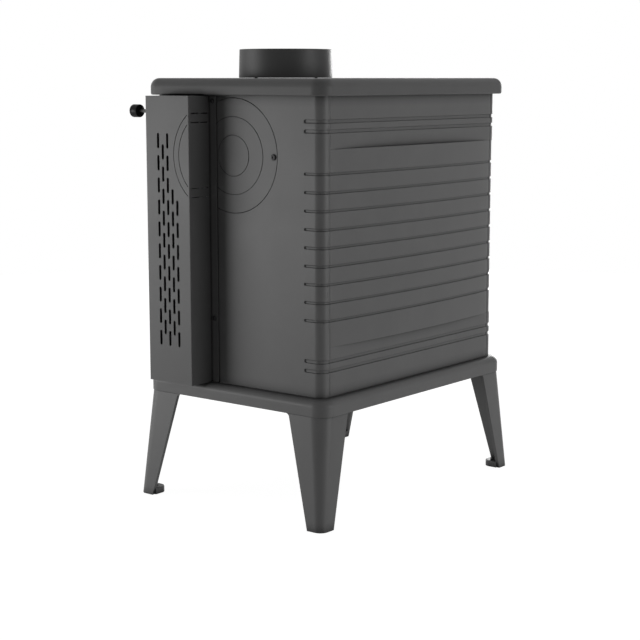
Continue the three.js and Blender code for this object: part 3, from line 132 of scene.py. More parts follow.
def inset(outline, distance):
    """The outline moved inwards, each corner along the bisector of its two sides."""
    if not distance:
        return outline
    moved = []
    count = len(outline)
    for i, point in enumerate(outline):
        here = Vector(point)
        before = (here - Vector(outline[i - 1])).normalized()
        after = (Vector(outline[(i + 1) % count]) - here).normalized()
        normals = [Vector((-way.y, way.x)) for way in (before, after)]
        bisector = (normals[0] + normals[1]).normalized()
        spread = max(LEAST_SPREAD, bisector.dot(normals[0]))
        moved.append(tuple(here + bisector * distance / spread))
    return moved


def soften(points, radius, steps=4, closed=False):
    """A line with each of its corners rounded."""
    result = []
    count = len(points)
    for i, point in enumerate(points):
        if not closed and i in (0, count - 1):
            result.append(tuple(point))
            continue
        here, before, after = (Vector(points[j % count]) for j in (i, i - 1, i + 1))
        sides = ((before - here).length, (after - here).length)
        reach = min(radius, *(NEAR_HALF * side for side in sides))
        start = here + (before - here).normalized() * reach
        end = here + (after - here).normalized() * reach
        for j in range(steps + 1):
            share = j / steps
            blend = start.lerp(here, share).lerp(here.lerp(end, share), share)
            result.append(tuple(blend))
    return result


# ---------- Forms: a form is a list of corners and a list of faces ----------


def join(*forms):
    corners, faces = [], []
    for more_corners, more_faces in forms:
        offset = len(corners)
        corners += more_corners
        faces += [[i + offset for i in face] for face in more_faces]
    return corners, faces


def lofted(rings, capped=True, ring_closed=True, closed=False):
    """A skin over rings with the same number of corners."""
    size = len(rings[0])
    corners = [tuple(corner) for ring in rings for corner in ring]
    faces = []
    last = len(rings) if closed else len(rings) - 1
    for i in range(last):
        low, high = i * size, ((i + 1) % len(rings)) * size
        for j in range(size if ring_closed else size - 1):
            k = (j + 1) % size
            faces.append([low + j, low + k, high + k, high + j])
    if capped and not closed:
        faces.append(list(range(size))[::-1])
        faces.append([(len(rings) - 1) * size + j for j in range(size)])
    return corners, faces


def on_axis(axis, a, b, along):
    """A place from two coordinates across an axis and one along it."""
    return {"x": (along, a, b), "y": (a, along, b), "z": (a, b, along)}[axis]


def turned(profile, axis, centre, sides=48, way=1):
    """A line of (radius, height) pairs turned about an axis through the centre."""
    rings = []
    for radius, height in profile:
        if radius < TINY:
            continue
        ring = []
        for j in range(sides):
            turn = 2 * math.pi * j / sides
            a, b = radius * math.cos(turn), radius * math.sin(turn)
            spot = on_axis(axis, a, b, way * height)
            ring.append(tuple(c + s for c, s in zip(centre, spot)))
        rings.append(ring)
    closed = all(radius > TINY for radius, _ in profile)
    return lofted(rings, closed=closed)


def side_profile(low, high, low_edge, high_edge, steps):
    """(inset, height) pairs up the side of a plate with rounded edges."""
    pairs = []
    for i in range(steps + 1):
        turn = math.pi / 2 * i / steps
        pairs.append((low_edge * (1 - math.sin(turn)), low + low_edge * (1 - math.cos(turn))))
    for i in range(steps + 1):
        turn = math.pi / 2 * i / steps
        pairs.append((high_edge * (1 - math.cos(turn)), high - high_edge * (1 - math.sin(turn))))
    kept = []
    for pair in pairs:
        if not kept or math.dist(pair, kept[-1]) > TINY:
            kept.append(pair)
    return kept


def plate(outline, axis, low, high, holes=(), pockets=(), edges=(0.6, 0.6), hole_edge=0.4,
          steps=3):
    """A plate across an axis, with rounded low and high edges and holes.

    Its pockets are (outline, floor) pairs in its low face.
    """
    forms = []
    low_loops, high_loops = [], []
    for i, loop in enumerate([outline, *holes]):
        loop = counter_clockwise(list(loop))
        low_edge, high_edge = edges if i == 0 else (hole_edge, hole_edge)
        rings = []
        for step, along in side_profile(low, high, low_edge, high_edge, steps):
            moved = inset(loop, step if i == 0 else -step)
            rings.append([on_axis(axis, a, b, along) for a, b in moved])
        forms.append(lofted(rings, capped=False))
        low_loops.append(rings[0])
        high_loops.append(rings[-1])
    for loop, floor in pockets:
        loop = counter_clockwise(list(loop))
        rings = [[on_axis(axis, a, b, along) for a, b in loop] for along in (low, floor)]
        forms.append(lofted(rings, capped=False))
        forms.append(filled([rings[1]]))
        low_loops.append(rings[0])
    return join(*forms, filled(low_loops), filled(high_loops))


def filled(loops):
    """A flat face inside the first loop and outside the others."""
    corners = [Vector(corner) for loop in loops for corner in loop]
    triangles = tessellate_polygon([[Vector(corner) for corner in loop] for loop in loops])
    return [tuple(corner) for corner in corners], [list(triangle) for triangle in triangles]


def tube(path, radius, sides=20):
    """A round bar along a line of points."""
    points = [Vector(point) for point in path]
    turns = [2 * math.pi * j / sides for j in range(sides)]
    rings = []
    side = None
    for i, here in enumerate(points):
        way = (points[min(i + 1, len(points) - 1)] - points[max(i - 1, 0)]).normalized()
        side = way.orthogonal() if side is None else side - way * side.dot(way)
        side.normalize()
        other = way.cross(side)
        rings.append([
            tuple(here + radius * (side * math.cos(turn) + other * math.sin(turn)))
            for turn in turns
        ])
    return lofted(rings)


def mirrored(form):
    corners, faces = form
    return [(-x, y, z) for x, y, z in corners], [face[::-1] for face in faces]


# ---------- Materials ----------

PATCH_RANGE = (0.3, 0.7)  # where the noise of the patches has most of its values
PATCH_DETAIL, PATCH_BREAKUP = 4.0, 0.6
# Painted shade: ambient occlusion values from a joint's bottom to an open face, and the share of
# the colour left at the bottom.
PAINTED_SHADE_DEEP, PAINTED_SHADE_OPEN, PAINTED_SHADE_TONE = 0.45, 0.97, 0.15  # from a joint's bottom to an open face


def linear(colour):
    """A colour written as it looks, such as "5a5a5b", as the renderer wants it."""
    channels = [int(colour[i:i + 2], 16) / 255 for i in (0, 2, 4)]
    return [c / 12.92 if c <= 0.04045 else ((c + 0.055) / 1.055) ** 2.4 for c in channels] + [1.0]


def per(size):
    """The scale of a pattern whose features are this many millimetres across."""
    return 1.0 / (size * MM)


def add(tree, kind, values=None, links=None, **settings):
    """Adds a node with its settings, its socket values and what feeds its sockets."""
    node = tree.nodes.new(kind)
    for name, value in settings.items():
        setattr(node, name, value)
    for socket, value in (values or {}).items():
        node.inputs[socket].default_value = value
    for socket, source in (links or {}).items():
        tree.links.new(source, node.inputs[socket])
    return node


def surface(name, colours, patch, grain, height, roughness, recess=0,
            pattern="ShaderNodeTexNoise", sockets=None):
    """A finish with patches of colour and roughness, and a grain that stands up by a height.

    Patch, grain and height are in millimetres. With a recess, shade is painted into the colour:
    ambient occlusion makes it darker in joints, grooves and beside raised parts about that deep.
    """
    material = bpy.data.materials.new(name)
    material.use_nodes = True
    tree = material.node_tree
    tree.nodes.clear()
    place = add(tree, "ShaderNodeTexCoord").outputs["Object"]
    patches = add(
        tree, "ShaderNodeTexNoise",
        {"Scale": per(patch), "Detail": PATCH_DETAIL, "Roughness": PATCH_BREAKUP},
        {"Vector": place},
    ).outputs["Fac"]
    ramp = add(tree, "ShaderNodeValToRGB", links={"Fac": patches})
    for element, position, colour in zip(ramp.color_ramp.elements, PATCH_RANGE, colours):
        element.position = position
        element.color = linear(colour)
    rough = add(
        tree, "ShaderNodeMapRange",
        {"From Min": PATCH_RANGE[0], "From Max": PATCH_RANGE[1],
         "To Min": roughness[0], "To Max": roughness[1]},
        {"Value": patches},
    )
    grains = add(tree, pattern, {"Scale": per(grain)}, {"Vector": place})
    grain_out = grains.outputs["Fac" if "Fac" in grains.outputs else "Distance"]
    bump = add(tree, "ShaderNodeBump", {"Distance": height * MM}, {"Height": grain_out})
    links = {
        "Base Color": ramp.outputs["Color"],
        "Roughness": rough.outputs["Result"],
        "Normal": bump.outputs["Normal"],
    }
    # Painted shade: the colour is darkened by ambient occlusion wherever other surfaces are near.
    if recess:
        shade_occlusion = add(tree, "ShaderNodeAmbientOcclusion", {"Distance": recess * MM}, samples=8)
        unshaded_share = add(
            tree, "ShaderNodeMapRange",
            {"From Min": PAINTED_SHADE_DEEP, "From Max": PAINTED_SHADE_OPEN, "To Min": PAINTED_SHADE_TONE},
            {"Value": shade_occlusion.outputs["AO"]},
        ).outputs["Result"]
        shaded = add(tree, "ShaderNodeVectorMath", links={0: ramp.outputs["Color"]},
                     operation="SCALE")
        tree.links.new(unshaded_share, shaded.inputs["Scale"])
        links["Base Color"] = shaded.outputs[0]
    shader = add(tree, "ShaderNodeBsdfPrincipled", sockets, links)
    add(tree, "ShaderNodeOutputMaterial", links={"Surface": shader.outputs["BSDF"]})
    return material


# Cast iron with matt grey stove paint, sprayed over the fine grain of the sand mould, with shade
# painted darker into its joints and grooves.
CAST = surface(
    "cast.sprayed", ("616161", "656565"), patch=60, grain=0.9, height=0.02,
    roughness=(0.4, 0.46), recess=18, sockets={"Specular IOR Level": 0.15},
)
# The same paint on the top plate, with shade painted in: its colour is a little darker than the
# body's, and darker still in its joints.
SHADED_TOP_CAST = surface(
    "cast.painted_shade_top", ("5b5b5b", "5f5f5f"), patch=60, grain=0.9, height=0.02,
    roughness=(0.42, 0.48), recess=18, sockets={"Specular IOR Level": 0.1},
)
# Sheet steel with the same paint, smoother because the rolled sheet has no grain of its own, with
# shade painted darker into its folds and joints.
SHEET_PAINT = surface(
    "painted_sheet.sprayed", ("5e5e5e", "626262"), patch=90, grain=0.6, height=0.01,
    roughness=(0.4, 0.46), recess=4, sockets={"Specular IOR Level": 0.13},
)
# Cast iron with satin black enamel, dipped and fired.
COLLAR = surface(
    "collar_iron.enamelled", ("1f1f1f", "232323"), patch=50, grain=1.4, height=0.015,
    roughness=(0.43, 0.49), sockets={"Specular IOR Level": 0.3},
)
# Bare cast iron, blackened by soot.
SOOTY = surface(
    "firebox_iron.sooty", ("2a2825", "3b3835"), patch=22, grain=1.0, height=0.03,
    roughness=(0.75, 0.95), sockets={"Metallic": 0.3},
)
# Phenolic plastic, moulded, with a satin face from the tool.
PLASTIC = surface(
    "black_plastic.moulded", ("0e0e0f", "131314"), patch=25, grain=0.5, height=0.006,
    roughness=(0.46, 0.54), sockets={"Specular IOR Level": 0.08},
)
# Steel screws, blackened in a hot oxide bath and oiled.
SCREW = surface(
    "black_screw.oxide", ("101011", "161617"), patch=6, grain=0.5, height=0.01,
    roughness=(0.42, 0.55), sockets={"Metallic": 0.6},
)
# Drawn and pressed steel, zinc plated.
ZINC = surface(
    "bright_steel.plated", ("9c9c9a", "a9a9a6"), patch=14, grain=0.4, height=0.008,
    roughness=(0.3, 0.42), sockets={"Metallic": 1.0},
)
# Drawn steel bar, blued and dulled by heat.
DULL_STEEL = surface(
    "bright_steel.dulled", ("363635", "40403f"), patch=9, grain=0.4, height=0.008,
    roughness=(0.4, 0.5), sockets={"Metallic": 1.0},
)
# Fireclay slab, pressed and fired, with a trace of smoke.
FIRE_CLAY = surface(
    "fire_clay.fired", ("a8906a", "bba684"), patch=9, grain=2.2, height=0.03,
    roughness=(0.9, 0.98), pattern="ShaderNodeTexVoronoi",
)
# Glass-fibre rope, knitted round a core and dyed dark.
ROPE = surface(
    "glass_rope.knitted", ("3a3937", "4b4a47"), patch=7, grain=1.6, height=0.6,
    roughness=(0.9, 0.98), pattern="ShaderNodeTexVoronoi",
)
# Ceramic glass, rolled clear and slightly smoked.
GLASS = surface(
    "dark_glass.rolled", ("8c8b87", "93928e"), patch=120, grain=30, height=0.004,
    roughness=(0.02, 0.05), sockets={"IOR": 1.54, "Transmission Weight": 1.0},
)

# ---------- Pieces ----------

MERGE_WITHIN = 0.01 * MM
FLAT_WITHIN = math.radians(1)
BEVEL_FROM = math.radians(40)


def piece(name, form, material, body, *nodes, smooth=38):
    """Makes a form into an object that rides on a body and stands for its nodes."""
    corners, faces = form
    mesh = bpy.data.meshes.new(name)
    mesh.from_pydata([Vector(corner) * MM for corner in corners], [], faces)
    work = bmesh.new()
    work.from_mesh(mesh)
    bmesh.ops.remove_doubles(work, verts=work.verts, dist=MERGE_WITHIN)
    bmesh.ops.recalc_face_normals(work, faces=work.faces)
    work.to_mesh(mesh)
    work.free()
    return dress(name, mesh, material, body, nodes, smooth)


def dress(name, mesh, material, body, nodes, smooth, bevel=0.0):
    """Gives a mesh its material, its soft edges, its body and the nodes that it stands for."""
    mesh.materials.clear()
    mesh.materials.append(material)
    made = bpy.data.objects.new(name, mesh)
    bpy.context.scene.collection.objects.link(made)
    if bevel:
        edge = made.modifiers.new("edge", "BEVEL")
        edge.width = bevel * MM
        edge.segments = 2
        edge.limit_method = "ANGLE"
        edge.angle_limit = BEVEL_FROM
        edge.use_clamp_overlap = False
        settle(made)
    made.data.shade_smooth()
    made.data.set_sharp_from_angle(angle=math.radians(smooth))
    made.modifiers.new("normals", "WEIGHTED_NORMAL").keep_sharp = True
    settle(made)
    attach(made, body)
    if nodes:
        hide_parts(*nodes)
    return made


def settle(made):
    """Makes an object's modifiers part of its mesh."""
    graph = bpy.context.evaluated_depsgraph_get()
    mesh = bpy.data.meshes.new_from_object(made.evaluated_get(graph))
    made.modifiers.clear()
    made.data = mesh


def eased(node, material, bevel=0.6, smooth=35):
    """A CAD node's own shape with its edges eased."""
    solid = frame["nodes"][node]
    mesh = solid.data.copy()
    work = bmesh.new()
    work.from_mesh(mesh)
    bmesh.ops.remove_doubles(work, verts=work.verts, dist=MERGE_WITHIN)
    bmesh.ops.dissolve_limit(work, angle_limit=FLAT_WITHIN, verts=work.verts, edges=work.edges)
    work.to_mesh(mesh)
    work.free()
    return dress(node + ".eased", mesh, material, solid["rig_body"], [node], smooth, bevel)


# ---------- Legs ----------

# A pair gives a size at the top and at the foot. The flanges and the foot lugs follow the
# photograph a little closer than the solids do, and so do the body's round corners, the base's
# lower edge and the lid's corners further down.

LEG_WALL, LEG_TOP, LEG_FILLET = 6.0, 178.0, 4.5
LEG_ACROSS, LEG_ALONG, LEG_ROUND = (70.0, 29.8), (63.2, 30.2), (BASE_CORNER, 14.0)
LEG_INSET, LEG_SPLAY = 2.0, (8.8, 14.6)
LEG_LEVELS, FILLET_STEPS = (0.0, 45.0, 90.0, 135.0), 5
LUG_INSET, LUG_ROUND, LUG_NOSE, LUG_THICK = 5.0, 9.0, 13.4, 11.0
FOOT_HOLE_IN, FOOT_HOLE_RADIUS = 20.0, 3.5
PAD_INSET, PAD_WIDTH, PAD_LOW = 5.0, 52.0, 173.7
LEG_CORNERS = {
    "leg_front_left": (-1, -1, BASE_FRONT),
    "leg_front_right": (1, -1, BASE_FRONT),
    "leg_back_right": (1, 1, BASE_BACK),
    "leg_back_left": (-1, 1, BASE_BACK),
}


def leg_form(side, end, corner_y):
    """An L-section leg that tapers and splays towards its foot, with a fillet under the base."""
    levels = [(z, 0.0) for z in LEG_LEVELS]
    for i in range(FILLET_STEPS + 1):
        turn = math.pi / 2 * i / FILLET_STEPS
        rise = LEG_FILLET * (1 - math.sin(turn))
        levels.append((LEG_TOP - rise, LEG_FILLET * (1 - math.cos(turn))))
    rings = []
    for z, flare in levels:
        foot = 1 - z / BASE_LOW
        across, along, outer = (
            top + (low - top) * foot for top, low in (LEG_ACROSS, LEG_ALONG, LEG_ROUND)
        )
        inner = max(outer - LEG_WALL, 1.0)
        ring = [(across + flare, 0.0), (across + flare, LEG_WALL)]
        ring += arc((outer, outer), inner, 270, 180)
        ring += [(LEG_WALL, along + flare), (0.0, along + flare)]
        ring += arc((outer, outer), outer, 180, 270)
        corner_x = BASE_HALF + LEG_SPLAY[0] * foot - LEG_INSET
        shift_y = LEG_SPLAY[1] * foot
        rings.append([
            (side * (corner_x - x), corner_y - end * (y - shift_y), z) for x, y in ring
        ])
    return lofted(rings)


def foot_lug(side, end, corner_y):
    """A lug inside the foot, with a hole for a floor screw."""
    corner_x = BASE_HALF - LEG_INSET + LEG_SPLAY[0]
    foot_y = corner_y + end * LEG_SPLAY[1]
    reach = FOOT_HOLE_IN + LUG_NOSE
    outline = arc((LUG_INSET + LUG_ROUND, LUG_INSET + LUG_ROUND), LUG_ROUND, 180, 270)
    outline += [(reach, LUG_INSET)] + arc((FOOT_HOLE_IN, FOOT_HOLE_IN), LUG_NOSE, 0, 90)
    outline += [(LUG_INSET, reach)]
    hole = circle((FOOT_HOLE_IN, FOOT_HOLE_IN), FOOT_HOLE_RADIUS, 24)
    outline, hole = (
        [(side * (corner_x - x), foot_y - end * y) for x, y in points]
        for points in (outline, hole)
    )
    return plate(outline, "z", 0.0, LUG_THICK, holes=[hole], edges=(0.8, 1.2))


def leg_pad(side, end, corner_y):
    """The pad in the corner of the leg that is bolted to the base."""
    outline = arc((BASE_CORNER, BASE_CORNER), BASE_CORNER - PAD_INSET, 180, 270)
    outline += [(PAD_WIDTH, PAD_INSET), (PAD_WIDTH, PAD_WIDTH), (PAD_INSET, PAD_WIDTH)]
    placed = [(side * (BASE_HALF - x), corner_y - end * y) for x, y in outline]
    return plate(placed, "z", PAD_LOW, LEG_TOP, edges=(0.6, 0.0))


for leg, (side, end, corner_y) in LEG_CORNERS.items():
    form = join(*(make(side, end, corner_y) for make in (leg_form, foot_lug, leg_pad)))
    piece(leg + ".cast", form, CAST, "stove_body", leg)
    eased("leg_bolt_" + leg[4:], SCREW, 0.5)

# ---------- Base frame and top plate ----------

BASE_EDGE, BASE_ROUND, HOLLOW_HIGH = LEG_TOP + 0.1, 12.0, 197.0
RIM, PAD_CLEAR = 12.0, 62.0
LID_HALF, LID_FRONT, LID_BACK, LID_CORNER = 187.5, -261.5, 258.5, 26.0
LID_EDGES = (2.5, 14.5)
CORNER_STEPS, EDGE_STEPS = 12, 8

rim_x, pad_x = BASE_HALF - RIM, BASE_HALF - PAD_CLEAR
rim_front, pad_front = BASE_FRONT + RIM, BASE_FRONT + PAD_CLEAR
rim_back, pad_back = BASE_BACK - RIM, BASE_BACK - PAD_CLEAR
base_hollow = [
    (-rim_x, pad_front), (-pad_x, pad_front), (-pad_x, rim_front),
    (pad_x, rim_front), (pad_x, pad_front), (rim_x, pad_front),
    (rim_x, pad_back), (pad_x, pad_back), (pad_x, rim_back),
    (-pad_x, rim_back), (-pad_x, pad_back), (-rim_x, pad_back),
]
base = plate(
    rounded(about(0, BASE_HALF), (BASE_FRONT, BASE_BACK), BASE_CORNER, CORNER_STEPS),
    "z", BASE_EDGE, BODY_LOW, pockets=[(base_hollow, HOLLOW_HIGH)],
    edges=(0.5, BASE_ROUND), steps=EDGE_STEPS,
)
piece("base_frame.cast", base, CAST, "stove_body", "base_frame")
lid = plate(
    rounded(about(0, LID_HALF), (LID_FRONT, LID_BACK), LID_CORNER, CORNER_STEPS),
    "z", BODY_HIGH, LID_HIGH, holes=[circle((0, FLUE_Y), FLUE_BORE)],
    edges=LID_EDGES, hole_edge=0.5, steps=EDGE_STEPS,
)
piece("top_plate.cast", lid, SHADED_TOP_CAST, "stove_body", "top_plate")
for corner in ("front_left", "front_right", "back_right", "back_left"):
    eased("tie_rod_" + corner, ZINC, 0.4)

# ---------- Flue collar ----------

COLLAR_LOW, COLLAR_HIGH = LID_HIGH + GAP, 743.0
COLLAR_FOOT, COLLAR_RIM, COLLAR_INSIDE, COLLAR_SEAT = 76.3, 75.0, 69.0, 7.0
WIDE_SIDES = 128

collar_tall = COLLAR_HIGH - COLLAR_LOW
collar_line = [
    (FLUE_BORE, 0), (COLLAR_FOOT, 0), (COLLAR_RIM, collar_tall),
    (COLLAR_INSIDE, collar_tall), (COLLAR_INSIDE, COLLAR_SEAT), (FLUE_BORE, COLLAR_SEAT),
]
collar = turned(soften(collar_line, 1.3, closed=True), "z", (0, FLUE_Y, COLLAR_LOW), WIDE_SIDES)
piece("flue_collar.enamel", collar, COLLAR, "stove_body", "flue_collar")

# ---------- Body panels ----------

BODY_ROUND, ROUND_STEPS = 16.0, 16
CREASE_Y, CREASE_DEEP = 227.0, 1.1  # the fine line where the side's flat starts
FLAT_STEPS = 24
FIELD_LOW, FIELD_HIGH = BODY_LOW + 79.0, BODY_LOW + 385.0
FIELD_HALF, FIELD_CROWN, FIELD_ROUND = 226.0, 9.0, 1.0
SINK_FROM, SINK_OVER, FRONT_SINK = 196.0, 30.0, 0.8
GROOVE_DEPTH, GROOVE_END, GROOVE_SLOPE = 1.7, 35.7, 0.9
FIELD_GROOVES = [(BODY_LOW + 120.8 + 28.3 * i, 4.0) for i in range(9)]
PLAIN_GROOVES = [
    (z, 5.5) for z in (BODY_LOW + 41.8, BODY_LOW + 56.9, BODY_HIGH - 38.2, BODY_HIGH - 53.3)
]
GROOVES = FIELD_GROOVES + PLAIN_GROOVES  # (middle height, width)
LEDGE_X, LEDGE_Y, LEDGE_Z = (-169, -156), (-198.5, 198.5), (286.0, 292.0)
# Columns of the mesh across the back, close together where the grooves end.
BACK_COLUMNS = [-BACK_HALF - 1.5 * i for i in range(5)]
BACK_COLUMNS += [-137.6 - 0.45 * i for i in range(14)] + [-146.0, -148.5]


def wrap(depth):
    """Points round the left side at a depth in from its faces, with the way out at each."""
    radius = BODY_ROUND - depth
    side_x = -HALF_WIDTH + depth
    middle = (BODY_ROUND - HALF_WIDTH, HALF_DEPTH - BODY_ROUND)
    line = [((x, HALF_DEPTH - depth), (0.0, 1.0)) for x in BACK_COLUMNS]
    corner = []
    for i in range(ROUND_STEPS + 1):
        turn = math.pi / 2 * i / ROUND_STEPS
        way = (-math.sin(turn), math.cos(turn))
        corner.append(((middle[0] + radius * way[0], middle[1] + radius * way[1]), way))
    corner.append(((side_x, CREASE_Y + CREASE_DEEP), (-1.0, 0.0)))
    corner.append(((side_x + CREASE_DEEP, CREASE_Y), (-1.0, 0.0)))
    line += corner
    for i in range(2 * FLAT_STEPS + 1):
        line.append(((side_x, (CREASE_Y - CREASE_DEEP) * (1 - i / FLAT_STEPS)), (-1.0, 0.0)))
    line += [((x, -y), (out_x, -out_y)) for (x, y), (out_x, out_y) in corner[::-1]]
    line.append(((-FRONT_HALF, -HALF_DEPTH + depth), (0.0, -1.0)))
    return line


def swell(y, z):
    """How far the crowned field stands out of the side. Near the front it sinks in a little."""
    if not FIELD_LOW <= z <= FIELD_HIGH or y >= FIELD_HALF:
        return 0.0
    front = min(1.0, max(0.0, (-y - SINK_FROM) / SINK_OVER))
    rise = FIELD_CROWN * (1 - (max(y, -FIELD_HALF) / FIELD_HALF) ** 2) - FRONT_SINK * front
    near = min(z - FIELD_LOW, FIELD_HIGH - z)
    if rise > 0 and near < FIELD_ROUND:
        fall = FIELD_ROUND - math.sqrt(FIELD_ROUND**2 - (FIELD_ROUND - near) ** 2)
        rise = max(0.0, rise - fall)
    return rise


def groove_share(x, y, z):
    """How far down in a groove a place is, from 0 to 1."""
    share = 0.0
    for middle, wide in GROOVES:
        if abs(z - middle) > wide:
            continue
        past_end = 0.0
        if y > HALF_DEPTH - 1:
            past_end = max(0.0, x + HALF_WIDTH - GROOVE_END + wide / 2)
        out = math.hypot(past_end, z - middle) - wide / 2
        share = max(share, min(1.0, max(0.0, 0.5 - out / GROOVE_SLOPE)))
    return share * share * (3 - 2 * share)


def panel_levels():
    """Heights of the mesh's rows, close together at the grooves and at the field's edges."""
    end, step, steps = 0.6, 0.05, 6
    levels = {PANEL_LOW, PANEL_HIGH, PANEL_LOW + end, PANEL_HIGH - end}
    for middle, wide in GROOVES:
        for out in (-0.5, -0.2, 0.0, 0.2, 0.5):
            levels.update((middle - wide / 2 + out, middle + wide / 2 + out))
        levels.add(middle)
    for i in range(steps + 1):
        out = FIELD_ROUND * (1 - math.cos(math.pi / 2 * i / steps))
        levels.update((FIELD_LOW + out, FIELD_HIGH - out))
    levels.update((FIELD_LOW - step, FIELD_HIGH + step))
    return sorted(levels)


def side_panel():
    """The left panel: its outside, its plain inside, its four edges and the liner's ledge."""
    outer, inner = wrap(0.0), wrap(WALL)
    levels = panel_levels()
    rows = []
    for z in levels:
        row = []
        for (x, y), (out_x, out_y) in outer:
            rise = swell(y, z) if out_x < -0.999 or out_y < -0.001 else 0.0
            rise -= GROOVE_DEPTH * groove_share(x, y, z)
            row.append((x + out_x * rise, y + out_y * rise, z))
        rows.append(row)
    inside = [[(x, y, z) for (x, y), _ in inner] for z in (levels[0], levels[-1])]
    pairs = (rows, inside, [rows[0], inside[0]], [rows[-1], inside[1]])
    forms = [lofted(pair, capped=False, ring_closed=False) for pair in pairs]
    for k in (0, -1):
        edge = [row[k] for row in rows] + [inside[1][k], inside[0][k]]
        forms.append((edge, [list(range(len(edge)))]))
    ledge = plate(rectangle(LEDGE_X, LEDGE_Y), "z", *LEDGE_Z, edges=(0.8, 0.8))
    return join(*forms, ledge)


left_side = side_panel()
for name, form in (("left", left_side), ("right", mirrored(left_side))):
    node = "side_panel_" + name
    piece(node + ".cast", form, CAST, "stove_body", node, smooth=50)

RECESS_DEEP, OUTLET_RADIUS = 5.0, 76.0
RING_RADII, RING_HALF, RING_FLOOR, RING_DEEP = (61.5, 32.5), 0.8, 0.35, 0.7
COVER_BACK, COVER_EDGE = -4.7, 0.8

back_outline = rectangle(about(0, BACK_HALF), (PANEL_LOW, PANEL_HIGH))
inlet, port = rectangle((81.25, 121.25), (226, 262)), rectangle((71, 95), (637, 651))
recess = circle((OUTLET_X, OUTLET_Z), COVER_RADIUS + GAP, WIDE_SIDES)
outlet = circle((OUTLET_X, OUTLET_Z), OUTLET_RADIUS, WIDE_SIDES)
recess_y = HALF_DEPTH - RECESS_DEEP
back = join(
    plate(back_outline, "y", recess_y, HALF_DEPTH, [recess, inlet, port], edges=(0, 0),
          hole_edge=0.5),
    plate(back_outline, "y", HALF_DEPTH - WALL, recess_y, [outlet, inlet, port], edges=(0, 0)),
)
piece("back_panel.cast", back, CAST, "stove_body", "back_panel")

cover_line = [
    (0.0, COVER_BACK), (COVER_RADIUS, COVER_BACK), (COVER_RADIUS, -COVER_EDGE),
    (COVER_RADIUS - COVER_EDGE, 0.0),
]
for ring in RING_RADII:
    cover_line += [
        (ring + RING_HALF, 0.0), (ring + RING_FLOOR, -RING_DEEP),
        (ring - RING_FLOOR, -RING_DEEP), (ring - RING_HALF, 0.0),
    ]
cover_line.append((0.0, 0.0))
cover = turned(cover_line, "y", (OUTLET_X, HALF_DEPTH, OUTLET_Z), WIDE_SIDES)
piece("rear_flue_cover.cast", cover, CAST, "stove_body", "rear_flue_cover")

# Shares of a pan head: its rim's height, its flat's radius, and the (radius, height) pairs from
# the flat down into the socket.
PAN_RIM, PAN_FLAT = 0.35, 0.62
SOCKET_LINE = [(0.45, 1.0), (0.4, 0.92), (0.36, 0.3), (0.0, 0.3)]


def pan_screw(node, radius, height, shank, length, centre, way=1, body="stove_body"):
    """A pan-head screw along y with a round socket, its head's underside at the centre."""
    line = [(0, -length), (shank, -length), (shank, 0), (radius, 0), (radius, height * PAN_RIM)]
    for i in range(1, 6):
        turn = math.pi / 2 * i / 6
        across = PAN_FLAT + (1 - PAN_FLAT) * math.cos(turn)
        up = PAN_RIM + (1 - PAN_RIM) * math.sin(turn)
        line.append((radius * across, height * up))
    line += [(radius * across, height * up) for across, up in SOCKET_LINE]
    return piece(node + ".head", turned(line, "y", centre, 36, way), SCREW, body, node)


def head_seat(node, height, way):
    """Where the underside of a screw's head sits, from the box of its CAD node."""
    low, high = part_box(node)
    seat_y = high.y / MM - height if way > 0 else low.y / MM + height
    return ((low.x + high.x) / 2 / MM, seat_y, (low.z + high.z) / 2 / MM)


COVER_SCREW_OUT = 83.7

for name, side in (("left", -1), ("right", 1)):
    pan_screw(
        "cover_screw_" + name, radius=4.7, height=2.0, shank=2.0, length=7.0,
        centre=(OUTLET_X + side * COVER_SCREW_OUT, HALF_DEPTH + GAP, OUTLET_Z),
    )
    eased("collar_screw_" + name, SCREW, 0.4)

# ---------- Air box ----------

SHEET, BEND, BEND_STEPS = 1.5, 2.4, 5
BOX_LEFT, BOX_RIGHT, BOX_BACK = 54.0, 148.5, 295.5
BOX_LOW, BOX_HIGH = 205.3, 669.0
BOX_FOOT = HALF_DEPTH + GAP  # the face that its flanges are screwed to
INNER_FLANGE, OUTER_FLANGE = 14.5, 12.0
SLOT_MIDDLE, SLOT_TOP = (BOX_LEFT + BOX_RIGHT) / 2, BODY_LOW + 393.0
SLOT_COLUMNS, SLOT_ROWS, SLOT_ACROSS, SLOT_DOWN = 5, 10, 10.1, 35.5
SLOT_ROUND, SLOT_HALF = 2.4, 9.85
SLOTS_OUTSIDE = 90.5  # no slot comes nearer to the outlet's middle
SLIT_RADII, SLIT_WIDE, SLIT_STEPS = (82.5, 71.5), 1.0, 40
WALL_SLIT_OUT, WALL_SLIT_Y, WALL_SLIT_HALF = (66.4, 52.07), ((252.3, 269.0), (273.0, 290.4)), 0.85
BOX_SCREW_X, BOX_SCREW_Z = {"inner": 47.5, "outer": 154.5}, {"lower": 311.0, "upper": 661.0}


def box_ribbon(points):
    """A folded strip of the sheet, as tall as the box. Its points run down one face."""
    outer = soften(points, BEND, BEND_STEPS)
    inner = []
    for i, point in enumerate(outer):
        here = Vector(point)
        way = Vector(outer[min(i + 1, len(outer) - 1)]) - Vector(outer[max(i - 1, 0)])
        way.normalize()
        inner.append(tuple(here + Vector((-way.y, way.x)) * SHEET))
    ring = outer + inner[::-1]
    return lofted([[(x, y, z) for x, y in ring] for z in (BOX_LOW, BOX_HIGH)])


